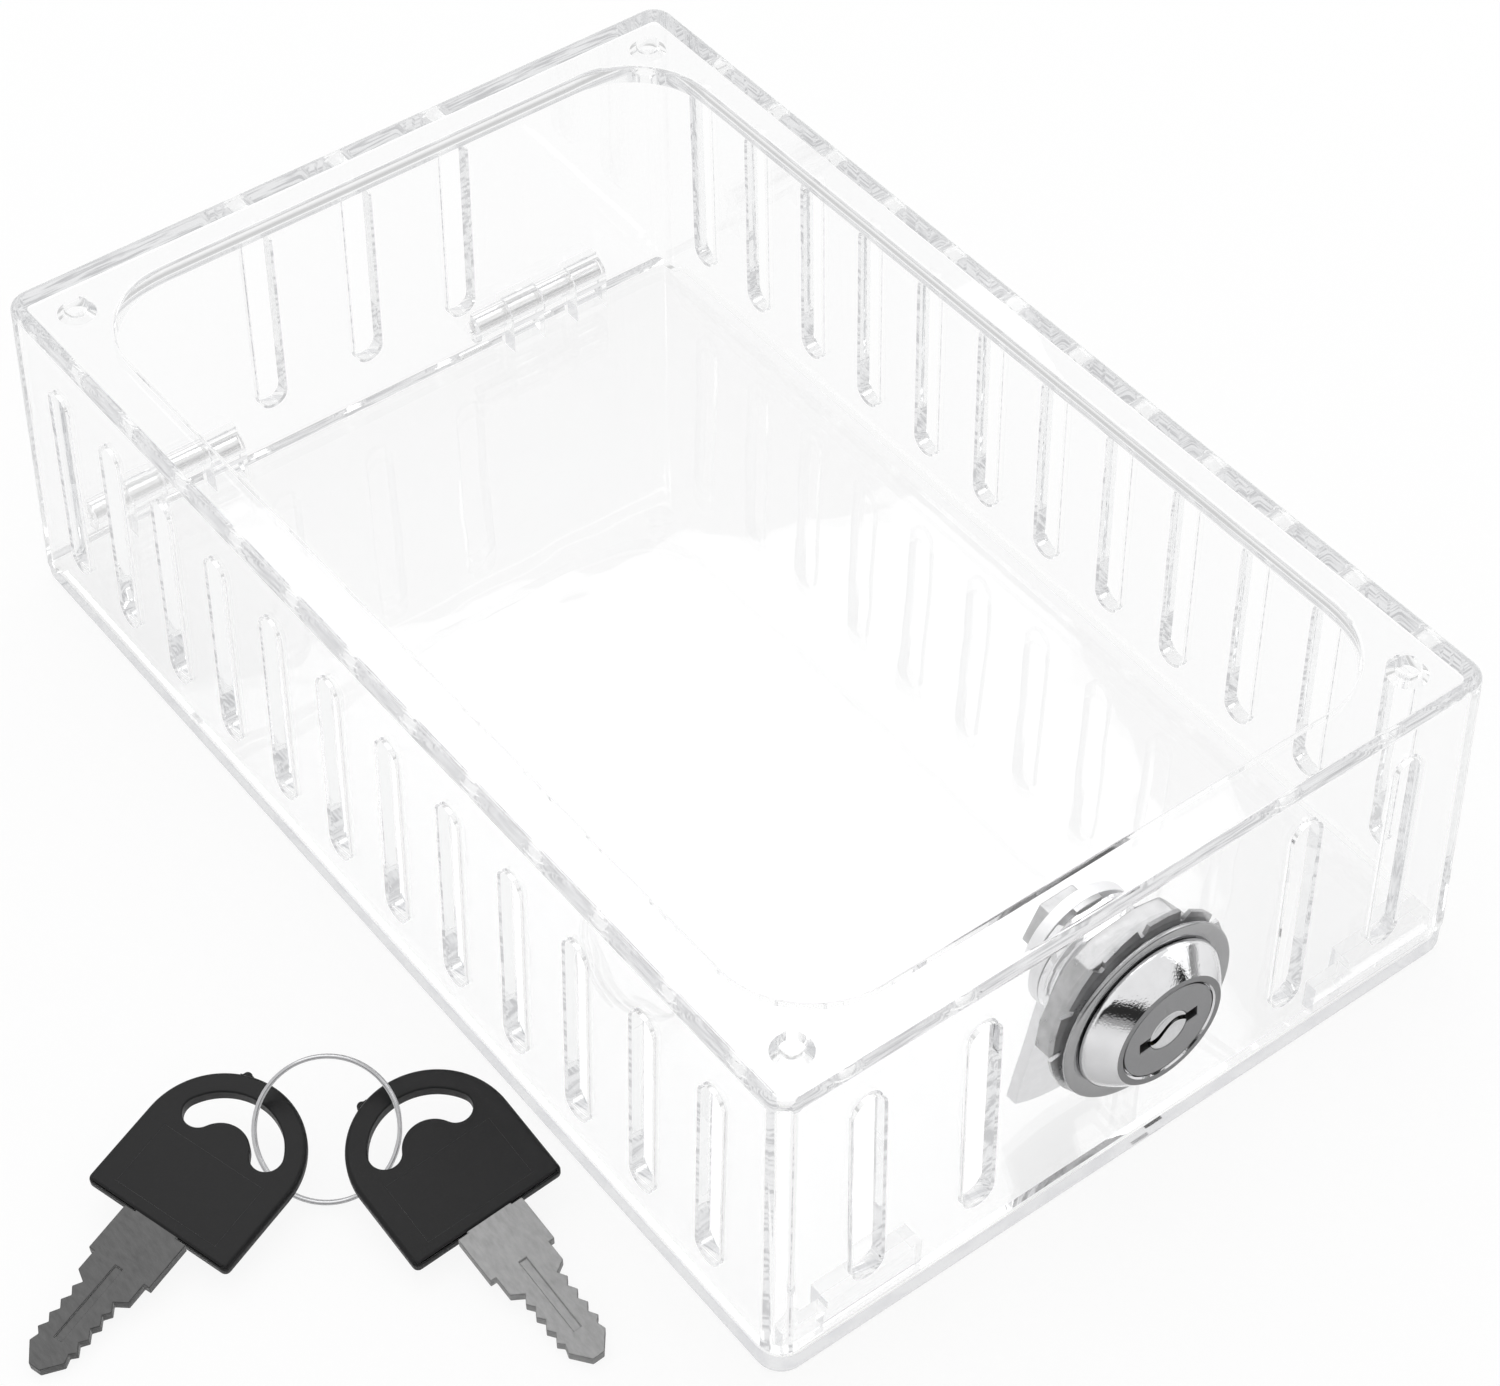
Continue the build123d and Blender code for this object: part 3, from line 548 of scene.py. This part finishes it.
def apply_modifiers(piece):
    """Put a piece's modifiers into its mesh, without slivers."""
    shape = piece.evaluated_get(bpy.context.evaluated_depsgraph_get())
    mesh = bpy.data.meshes.new_from_object(shape)
    bm = bmesh.new()
    bm.from_mesh(mesh)
    bmesh.ops.remove_doubles(bm, verts=bm.verts, dist=MERGE_DISTANCE)
    bmesh.ops.dissolve_degenerate(bm, edges=bm.edges, dist=MERGE_DISTANCE)
    bm.to_mesh(mesh)
    bm.free()
    piece.modifiers.clear()
    piece.data = mesh


def merged_copy(node):
    """A CAD node's mesh as a closed bmesh with its flat faces whole."""
    bm = bmesh.new()
    bm.from_mesh(frame["nodes"][node].data)
    bmesh.ops.remove_doubles(bm, verts=bm.verts, dist=MERGE_DISTANCE)
    bmesh.ops.dissolve_degenerate(bm, edges=bm.edges, dist=MERGE_DISTANCE)
    bmesh.ops.dissolve_limit(bm, angle_limit=FLAT_ANGLE, verts=bm.verts, edges=bm.edges)
    return bm


def softened(node, mat, width, segments=2):
    """A copy of a CAD node with its sharp edges taken off, in the node's place."""
    piece = mesh_piece(f"{node}_soft", merged_copy(node), mat, body_of(node))
    bevel = piece.modifiers.new("edges", "BEVEL")
    bevel.width = width
    bevel.segments = segments
    bevel.limit_method = "ANGLE"
    bevel.angle_limit = BEVEL_ANGLE
    bevel.harden_normals = True
    bevel.use_clamp_overlap = False
    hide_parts(node)
    return piece


def turned(profile, steps, place_at=None):
    """A closed outline of (radius, height) points spun about Z; place_at may move each point."""
    bm = bmesh.new()
    outline = [bm.verts.new((radius, 0.0, height)) for radius, height in profile]
    edges = [bm.edges.new(pair) for pair in zip(outline, outline[1:] + outline[:1])]
    bmesh.ops.spin(
        bm, geom=outline + edges, axis=(0, 0, 1), cent=(0, 0, 0), angle=2 * math.pi,
        steps=steps, use_merge=True)
    if place_at:
        for vert in bm.verts:
            angle = math.atan2(vert.co.y, vert.co.x)
            radius, height = place_at(math.hypot(vert.co.x, vert.co.y), vert.co.z, angle)
            vert.co = (radius * math.cos(angle), radius * math.sin(angle), height)
        bmesh.ops.remove_doubles(bm, verts=bm.verts, dist=MERGE_DISTANCE)
    return bm


def bridge(bm, here, there):
    """Faces from each side of a loop of vertices to the same side of the next loop."""
    for i in range(len(here)):
        bm.faces.new((here[i - 1], there[i - 1], there[i], here[i]))


def thicken(bm, faces, height):
    """Make a solid from flat faces, along Z."""
    moved = bmesh.ops.extrude_face_region(bm, geom=faces)["geom"]
    verts = [item for item in moved if isinstance(item, bmesh.types.BMVert)]
    bmesh.ops.translate(bm, verts=verts, vec=(0, 0, height))
    bmesh.ops.recalc_face_normals(bm, faces=bm.faces)


def arc_points(centre, radius, start, end, count):
    """Points of an arc; angles in degrees."""
    points = []
    for i in range(count + 1):
        angle = math.radians(start + (end - start) * i / count)
        points.append((centre[0] + radius * math.cos(angle), centre[1] + radius * math.sin(angle)))
    return points


def same(radius, other):
    """Whether two radii are one, but for rounding."""
    return abs(radius - other) < SAME_RADIUS


def in_groove(angle):
    """Whether an angle about the lock's axis is in one of the two grooves for the wafers."""
    from_start = (angle - KEYWAY_TURN + GROOVE_BEFORE) % math.pi
    return from_start < GROOVE_BEFORE + GROOVE_AFTER


def housing_place(radius, height, angle):
    """Where a point of the housing's outline goes: stop, wafer grooves, and thread with flats."""
    if height < BARREL_END and (angle - STOP_START) % (2 * math.pi) > STOP_SPAN:
        height = BARREL_END
    if same(radius, GROOVE_RADIUS) and not in_groove(angle):
        return BORE, height
    if not same(radius, THREAD_RADIUS) or height > HEAD_BASE - THREAD_PITCH / 2:
        return radius, height
    phase = (height / THREAD_PITCH + angle / (2 * math.pi)) % 1.0
    groove = THREAD_DEPTH * abs(2 * phase - 1)
    flat = BARREL_FLAT / max(abs(math.sin(angle)), 0.001)
    return min(radius - groove, flat), height


def cone_points():
    """The head's slightly crowned cone, from the face's edge down to its base."""
    points = []
    low = HEAD_BASE + HEAD_EDGE
    high = FACE - FACE_BEVEL
    for i in range(1, CONE_STEPS + 1):
        share = i / CONE_STEPS
        swell = CONE_SWELL * math.sin(math.pi * share)
        radius = FACE_RADIUS + (HEAD_RADIUS - FACE_RADIUS) * share + swell
        points.append((radius, high + (low - high) * share))
    return points


def lock_matrix():
    """From the lock's own axes (Z outwards, X across) to the frame."""
    turn = Matrix.Rotation(math.radians(90) - LOCK_LEAN, 4, "X")
    return Matrix.Translation(LOCK_FOOT) @ turn


def keys_matrix():
    """The keys' plane: X along the ring, Y up the heads, Z off the table."""
    return (
        Matrix.Translation(KEYS_AT)
        @ Matrix.Rotation(KEYS_HEADING, 4, "Z")
        @ Matrix.Rotation(KEYS_TILT, 4, "X")
    )


def key_matrix(side):
    """From a key's own axes (Y to its round end, Z up) to the frame; side -1 is the left key."""
    place = Matrix.Translation((side * KEY_SPREAD, -KEY_DROP, 0))
    turn = Matrix.Rotation(side * (math.radians(90) - KEY_SPLAY), 4, "Z")
    return keys_matrix() @ place @ turn


def ring_matrix():
    """The split ring's plane, which leans through both heads' holes."""
    lean = Matrix.Rotation(RING_LEAN, 4, "X")
    return keys_matrix() @ lean @ Matrix.Translation((0, RING_RISE, 0))


class LOCKBOX_OT_clear_box(bpy.types.Operator):
    """Give the box, its front panel and the keeper their clear plastic"""

    bl_idname = "lockbox.clear_box"
    bl_label = "Clear box"

    def execute(self, context):
        settings = context.scene.lockbox_plastic
        walls = clear_plastic_material("clear_plastic", settings)
        floor = clear_plastic_material("clear_panel_plastic", settings, PANEL_STREAKS)
        give(frame["nodes"]["box_body"], walls)
        give(frame["nodes"]["front_panel"], floor)
        give(frame["nodes"]["latch_keeper"], floor)
        pin = metal_material(
            "pin_steel", PIN_STEEL, rough=(0.2, 0.34), grain=900.0, stretch=(0.05, 1.0, 1.0))
        for node in ("hinge_pin_left", "hinge_pin_right"):
            give(frame["nodes"][node], pin)
        return {"FINISHED"}


class LOCKBOX_OT_lock(bpy.types.Operator):
    """Finish the cam lock: a threaded housing, toothed washer, nut, plug and cam"""

    bl_idname = "lockbox.lock"
    bl_label = "Cam lock"

    def execute(self, context):
        settings = context.scene.lockbox_metal
        zinc = metal_material(
            "zinc_plate", settings.zinc, rough=(0.2, 0.42), grain=520.0, clouding=0.5,
            bump=0.04 * MM)
        # Painted light: the cam is zinc drawn lighter than the nut and washers
        pale = metal_material(
            "cam_zinc", shaded(settings.zinc, CAM_PAINTED_LIGHT), rough=(0.35, 0.55), grain=700.0,
            clouding=0.12)
        self.housing(settings)
        self.collar(settings)
        self.washer(zinc)
        self.plug(settings)
        softened("lock_nut", zinc, NUT_BEVEL)
        softened("cam", pale, CAM_BEVEL)
        softened("cam_nut", zinc, CAM_BEVEL)
        for node in ("stop_washer", "cam_lock_washer", "wafer_springs"):
            give(frame["nodes"][node], zinc)
        brass = metal_material("wafer_brass", settings.wafer, rough=(0.25, 0.4), grain=1500.0)
        for i in range(1, 6):
            give(frame["nodes"][f"wafer_{i}"], brass)
        return {"FINISHED"}

    def housing(self, settings):
        """The chromed head and the threaded barrel, bored for the plug."""
        profile = [
            (BORE, BARREL_END),
            (BORE, GROOVE_LOW),
            (GROOVE_RADIUS, GROOVE_LOW),
            (GROOVE_RADIUS, GROOVE_HIGH),
            (BORE, GROOVE_HIGH),
            (BORE, SEAT - SEAT_RELIEF),
            (BORE + SEAT_RELIEF, SEAT),
            (MOUTH, SEAT),
            (MOUTH, FACE - FACE_BEVEL),
            (MOUTH + FACE_BEVEL, FACE),
            (FACE_RADIUS - FACE_BEVEL, FACE),
            (FACE_RADIUS, FACE - FACE_BEVEL),
            *cone_points(),
            (HEAD_RADIUS, HEAD_BASE + HEAD_BEVEL),
            (HEAD_RADIUS - HEAD_BEVEL, HEAD_BASE),
            (THREAD_RADIUS, HEAD_BASE),
        ]
        steps = round((HEAD_BASE - BARREL_END) / THREAD_PITCH * THREAD_STEPS)
        for i in range(1, steps + 1):
            profile.append((THREAD_RADIUS, HEAD_BASE + (BARREL_END - HEAD_BASE) * i / steps))
        profile += [(THREAD_RADIUS, STOP_END), (STOP_INNER, STOP_END), (STOP_INNER, BARREL_END)]
        bm = turned(profile, HOUSING_STEPS, housing_place)
        chrome = chrome_material(settings)
        piece = mesh_piece("lock_head", bm, chrome, "box", TURNED_SMOOTH_BELOW)
        satin = metal_material(
            "face_plate", shaded(settings.face, FACE_SHADE), rough=(0.25, 0.4), grain=2500.0)
        piece.data.materials.append(satin)
        for face in piece.data.polygons:
            radius = math.hypot(face.center.x, face.center.y)
            if face.center.z > FACE - FACE_BEVEL / 4 and MOUTH < radius < FACE_RADIUS:
                face.material_index = 1
        piece.data.transform(lock_matrix())
        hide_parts("lock_housing")

    def collar(self, settings):
        """The pressed ring under the head, with a rolled lip and a groove."""
        # Painted shade: the collar's plate is the head's chrome drawn darker
        plate = metal_material(
            "collar_plate", shaded(settings.chrome, COLLAR_PAINTED_SHADE), rough=(0.14, 0.3),
            grain=900.0, bump=0.01 * MM)
        lip = COLLAR_LIP / 2
        profile = [(COLLAR_HOLE, 0.0), (COLLAR_RADIUS - lip, 0.0)]
        profile += arc_points((COLLAR_RADIUS - lip, lip), lip, -90, 90, 8)[1:]
        bead = (COLLAR_RADIUS - COLLAR_BEAD_INSET, lip)
        profile += arc_points(bead, COLLAR_BEAD_RADIUS, 80, 100, 3)
        profile += [(COLLAR_SEAT_EDGE, COLLAR_SEAT), (COLLAR_HOLE, COLLAR_SEAT)]
        bm = turned(profile, COLLAR_STEPS)
        piece = mesh_piece("collar_ring", bm, plate, "box", TURNED_SMOOTH_BELOW)
        piece.data.transform(lock_matrix())
        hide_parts("lock_collar")

    def washer(self, zinc):
        """A lock washer whose teeth are each twisted a little."""
        root = WASHER_RADIUS - WASHER_TOOTH
        half = WASHER_SHEET / 2
        bm = bmesh.new()
        sections = []
        for i in range(WASHER_TEETH):
            for along, reach, twist in WASHER_TOOTH_STEPS:
                angle = 2 * math.pi * (i + along) / WASHER_TEETH
                lift = twist * (WASHER_THICKNESS / 2 - half)
                tip = root + reach * WASHER_TOOTH
                section = []
                for radius, height in (
                    (WASHER_HOLE, -half), (root, -half), (tip, lift - half),
                    (tip, lift + half), (root, half), (WASHER_HOLE, half),
                ):
                    place = (radius * math.cos(angle), radius * math.sin(angle), height)
                    section.append(bm.verts.new(place))
                sections.append(section)
        for i, section in enumerate(sections):
            bridge(bm, sections[i - 1], section)
        bmesh.ops.remove_doubles(bm, verts=bm.verts, dist=MERGE_DISTANCE)
        piece = mesh_piece("tooth_ring", bm, zinc, "box")
        middle = Matrix.Translation((0, 0, -WALL - WASHER_THICKNESS / 2))
        piece.data.transform(lock_matrix() @ middle)
        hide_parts("toothed_washer")

    def plug(self, settings):
        """The plug with bevelled edges, and the bowl with its curved slot in the plug's dimple."""
        face = metal_material(
            "plug_face", settings.face, rough=(0.30, 0.44), grain=2500.0, bump=0.01 * MM)
        softened("lock_plug", face, PLUG_BEVEL)
        profile = [(BOWL_HOLE, -BOWL_DEPTH), (BOWL_RADIUS, -BOWL_DEPTH), (BOWL_RADIUS, -BOWL_EDGE)]
        rim = BOWL_RADIUS - BOWL_EDGE
        for i in range(BOWL_POINTS + 1):
            radius = rim + (BOWL_HOLE - rim) * i / BOWL_POINTS
            dish = BOWL_DISH * (1 - (radius / BOWL_RADIUS) ** 2)
            profile.append((radius, -BOWL_RIM_DROP - dish))
        bright = metal_material(
            "bowl_plate", shaded(settings.chrome, BOWL_SHADE), rough=(0.06, 0.14), grain=1500.0)
        bm = turned(profile, BOWL_STEPS)
        piece = mesh_piece("key_bowl", bm, bright, "plug", TURNED_SMOOTH_BELOW)
        cutter = self.slot_cutter()
        cut = piece.modifiers.new("slot", "BOOLEAN")
        cut.operation = "DIFFERENCE"
        cut.solver = "EXACT"
        cut.object = cutter
        apply_modifiers(piece)
        bpy.data.objects.remove(cutter, do_unlink=True)
        turn = Matrix.Rotation(KEYWAY_TURN, 4, "Z")
        piece.data.transform(lock_matrix() @ Matrix.Translation((0, 0, FACE - PLUG_RECESS)) @ turn)

    def slot_cutter(self):
        """A prism along an S: what is taken out of the bowl for the key."""
        near, far = [], []
        for i in range(SLOT_STEPS + 1):
            share = 2 * i / SLOT_STEPS - 1
            x = share * (BOWL_RADIUS + SLOT_OVERRUN)
            sway = SLOT_SWAY * math.sin(math.pi * share)
            near.append((x, sway - SLOT_WIDTH / 2, -SLOT_REACH))
            far.append((x, sway + SLOT_WIDTH / 2, -SLOT_REACH))
        bm = bmesh.new()
        outline = [bm.verts.new(place) for place in near + far[::-1]]
        thicken(bm, [bm.faces.new(outline)], 2 * SLOT_REACH)
        return placed_object("slot_cutter", bm)


class LOCKBOX_OT_keys(bpy.types.Operator):
    """Finish the keys: rounded moulded heads with a fine frame line, and stamped blades"""

    bl_idname = "lockbox.keys"
    bl_label = "Keys"

    def execute(self, context):
        plastic = key_plastic_material(context.scene.lockbox_keys)
        colour = context.scene.lockbox_metal.key_steel
        for key, side in (("key_a", -1), ("key_b", 1)):
            softened(f"{key}_head", plastic, KEY_HEAD_BEVEL, segments=3)
            # Painted light and shade: one blade drawn darker and the other lighter than the one
            # steel
            steel = blade_material(f"{key}_steel", shaded(colour, KEY_PAINTED_LIGHT_AND_SHADE[key]))
            softened(f"{key}_blade", steel, KEY_BLADE_BEVEL)
            self.frame_line(key, side, plastic)
        self.clear_reflections()
        return {"FINISHED"}

    def clear_reflections(self):
        """The clear walls don't mirror the dark keys, so they are left out of reflections."""
        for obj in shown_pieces():
            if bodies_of(obj) in (["key_a"], ["key_b"]):
                obj.visible_glossy = False

    def frame_line(self, key, side, plastic):
        """A hair-thin raised rectangle on the flat of the head."""
        bm = bmesh.new()
        size = Vector((2 * FRAME_HALF_WIDTH, FRAME_HIGH - FRAME_LOW, 1.0))
        top = Vector((0, (FRAME_HIGH + FRAME_LOW) / 2, KEY_HALF_THICKNESS + FRAME_RISE))
        place = Matrix.Translation(top) @ Matrix.Diagonal((*size, 1.0))
        bmesh.ops.create_grid(bm, x_segments=1, y_segments=1, size=0.5, matrix=place)
        inner = bm.faces[:]
        bmesh.ops.inset_region(
            bm, faces=inner, thickness=FRAME_LINE, use_boundary=True, use_even_offset=True)
        bmesh.ops.delete(bm, geom=inner, context="FACES")
        thicken(bm, bm.faces[:], -FRAME_RISE - FRAME_LINE / 2)
        piece = mesh_piece(f"{key}_frame", bm, plastic, key)
        piece.data.transform(key_matrix(side))


class LOCKBOX_OT_split_ring(bpy.types.Operator):
    """Wind the split ring through both key heads"""

    bl_idname = "lockbox.split_ring"
    bl_label = "Split ring"

    def execute(self, context):
        settings = context.scene.lockbox_keys
        steel = metal_material("ring_steel", RING_STEEL, rough=(0.10, 0.22), grain=1800.0)
        bm = bmesh.new()
        steps = RING_STEPS * settings.ring_turns
        hoops = []
        for i in range(steps + 1):
            angle = math.pi * settings.ring_turns * (2 * i / steps - 1)
            hoops.append(self.hoop(bm, settings, angle, self.taper(i, steps)))
        for here, there in zip(hoops, hoops[1:]):
            bridge(bm, here, there)
        bm.faces.new(hoops[0][::-1])
        bm.faces.new(hoops[-1])
        piece = mesh_piece("split_ring", bm, steel, "ring", WIRE_SMOOTH_BELOW)
        piece.data.transform(ring_matrix())
        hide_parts("key_ring")
        return {"FINISHED"}

    def taper(self, i, steps):
        """The wire's share of its thickness: its ends are ground a little thinner."""
        inside = min(i, steps - i, RING_END_STEPS) / RING_END_STEPS
        return RING_END_SHARE + (1 - RING_END_SHARE) * inside

    def hoop(self, bm, settings, angle, share):
        """One round of vertices about the wire."""
        climb = settings.ring_pitch * angle / (2 * math.pi)
        outwards = Vector((math.cos(angle), math.sin(angle), 0.0))
        middle = outwards * settings.ring_radius + Vector((0.0, 0.0, climb))
        verts = []
        for j in range(RING_SIDES):
            turn = 2 * math.pi * j / RING_SIDES
            offset = outwards * math.cos(turn) + Vector((0.0, 0.0, math.sin(turn)))
            verts.append(bm.verts.new(middle + offset * settings.ring_wire * share))
        return verts


class LOCKBOX_OT_stage(bpy.types.Operator):
    """Set the floor, the lights and the camera"""

    bl_idname = "lockbox.stage"
    bl_label = "Stage"

    def execute(self, context):
        settings = context.scene.lockbox_stage
        self.floor(settings)
        self.sky(settings)
        self.lamps(settings)
        self.camera()
        return {"FINISHED"}

    def floor(self, settings):
        """A wide floor that is seen almost white, and keeps a faint shadow."""
        bm = bmesh.new()
        bmesh.ops.create_grid(bm, x_segments=1, y_segments=1, size=FLOOR_REACH)
        bmesh.ops.translate(bm, verts=bm.verts, vec=(0, 0, -FLOOR_DROP))
        floor = placed_object("floor", bm)
        mat = bpy.data.materials.new("floor_white")
        mat.use_nodes = True
        tree = mat.node_tree
        tree.nodes.clear()
        out = new_node(tree, "OutputMaterial", 700, 200)
        paint = new_node(tree, "BsdfDiffuse", 300, 0)
        paint.inputs["Color"].default_value = shaded(settings.floor, 1.0)
        white = new_node(tree, "Emission", 300, 200)
        white.inputs["Color"].default_value = WHITE
        white.inputs["Strength"].default_value = 1.0
        part = new_node(tree, "Math", 300, 400)
        part.operation = "MULTIPLY"
        part.inputs[1].default_value = settings.floor_glow
        tree.links.new(seen_directly(tree, "Is Transmission Ray"), part.inputs[0])
        show_mix(tree, out, part.outputs[0], paint, white)
        give(floor, mat)
        floor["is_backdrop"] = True

    def sky(self, settings):
        """Even light from all round, with the studio's grey bands for metal and clear plastic."""
        world = bpy.data.worlds.new("studio")
        bpy.context.scene.world = world
        world.use_nodes = True
        tree = world.node_tree
        tree.nodes.clear()
        out = new_node(tree, "OutputWorld", 700, 200)
        even = new_node(tree, "Background", 300, 0)
        even.inputs["Color"].default_value = WHITE
        even.inputs["Strength"].default_value = settings.sky
        shown = new_node(tree, "Background", 300, 200)
        shown.inputs["Strength"].default_value = 1.0
        coords = new_node(tree, "TexCoord", -900, 0)
        split = new_node(tree, "SeparateXYZ", -700, 0)
        tree.links.new(coords.outputs["Generated"], split.inputs["Vector"])
        mirrored = front_only(tree, split, height_bands(tree, split, MIRRORED_BANDS))
        through = height_bands(tree, split, THROUGH_BANDS)
        rays = new_node(tree, "LightPath", -300, 400)
        came_through = rays.outputs["Is Transmission Ray"]
        bent = colour_between(tree, came_through, mirrored, through, -100, 200)
        seen = colour_between(tree, rays.outputs["Is Camera Ray"], bent, WHITE, 100, 200)
        tree.links.new(seen, shown.inputs["Color"])
        direct = seen_directly(tree, "Is Glossy Ray", "Is Transmission Ray")
        show_mix(tree, out, direct, even, shown)

    def lamps(self, settings):
        """Two large soft lamps, aimed at the object."""
        for name, power, size, place in LAMPS:
            lamp = bpy.data.lights.new(name, "AREA")
            lamp.shape = "SQUARE"
            lamp.size = size
            lamp.energy = getattr(settings, power)
            obj = bpy.data.objects.new(name, lamp)
            obj.location = place
            obj.rotation_euler = (-Vector(place)).to_track_quat("-Z", "Y").to_euler()
            bpy.context.scene.collection.objects.link(obj)

    def camera(self):
        """The photograph's view."""
        camera = bpy.data.cameras.new("camera")
        camera.sensor_width = 36.0
        camera.lens = CAMERA_LENS
        camera.clip_start = 0.01
        obj = bpy.data.objects.new("camera", camera)
        obj.location = CAMERA_PLACE
        obj.rotation_euler = [math.radians(a) for a in CAMERA_TURN]
        bpy.context.scene.collection.objects.link(obj)
        bpy.context.scene.camera = obj
        bpy.context.scene.view_settings.view_transform = "Standard"


def height_bands(tree, split, stops):
    """White surroundings with grey bands at some heights above the horizon."""
    ramp = new_node(tree, "ValToRGB", -500, 0)
    for end in ramp.color_ramp.elements:
        end.color = WHITE
    for place, shade in stops:
        stop = ramp.color_ramp.elements.new(place)
        stop.color = (shade, shade, shade, 1.0)
    tree.links.new(split.outputs["Z"], ramp.inputs["Fac"])
    return ramp.outputs["Color"]


def front_only(tree, split, bands):
    """The bands in front of the lock, fading to white behind it."""
    front = new_node(tree, "MapRange", -500, 300)
    front.inputs["From Min"].default_value = BANDS_FADE_FROM
    front.inputs["From Max"].default_value = 0.0
    tree.links.new(split.outputs["Y"], front.inputs["Value"])
    return colour_between(tree, front.outputs["Result"], bands, WHITE, -200, 0)


def seen_directly(tree, *kinds):
    """1 for rays from the camera and of the given kinds, such as through clear plastic."""
    rays = new_node(tree, "LightPath", -300, 600)
    total = rays.outputs["Is Camera Ray"]
    for kind in kinds:
        largest = new_node(tree, "Math", 0, 600)
        largest.operation = "MAXIMUM"
        tree.links.new(total, largest.inputs[0])
        tree.links.new(rays.outputs[kind], largest.inputs[1])
        total = largest.outputs[0]
    return total


class LOCKBOX_PT_panel(bpy.types.Panel):
    """Sizes and colours of the lock box, and its build steps"""

    bl_label = "Lock box"
    bl_idname = "LOCKBOX_PT_panel"
    bl_space_type = "VIEW_3D"
    bl_region_type = "UI"
    bl_category = "Lock box"

    def draw(self, context):
        scene = context.scene
        for group in (scene.lockbox_plastic, scene.lockbox_metal, scene.lockbox_keys,
                      scene.lockbox_stage):
            box = self.layout.box()
            for name in group.bl_rna.properties.keys():
                if name not in ("rna_type", "name"):
                    box.prop(group, name)
        for step in STEPS:
            self.layout.operator(step.bl_idname)


SETTINGS = {
    "lockbox_plastic": ClearPlasticSettings,
    "lockbox_metal": MetalSettings,
    "lockbox_keys": KeySettings,
    "lockbox_stage": StageSettings,
}
STEPS = (
    LOCKBOX_OT_clear_box,
    LOCKBOX_OT_lock,
    LOCKBOX_OT_keys,
    LOCKBOX_OT_split_ring,
    LOCKBOX_OT_stage,
)


def register():
    for group in SETTINGS.values():
        bpy.utils.register_class(group)
    for name, group in SETTINGS.items():
        setattr(bpy.types.Scene, name, bpy.props.PointerProperty(type=group))
    for step in STEPS:
        bpy.utils.register_class(step)
    bpy.utils.register_class(LOCKBOX_PT_panel)


def unregister():
    bpy.utils.unregister_class(LOCKBOX_PT_panel)
    for step in reversed(STEPS):
        bpy.utils.unregister_class(step)
    for name in SETTINGS:
        delattr(bpy.types.Scene, name)
    for group in reversed(list(SETTINGS.values())):
        bpy.utils.unregister_class(group)


def main():
    register()
    bpy.ops.lockbox.stage()
    bpy.ops.lockbox.clear_box()
    bpy.ops.lockbox.lock()
    bpy.ops.lockbox.keys()
    bpy.ops.lockbox.split_ring()


if __name__ == "__main__":
    main()
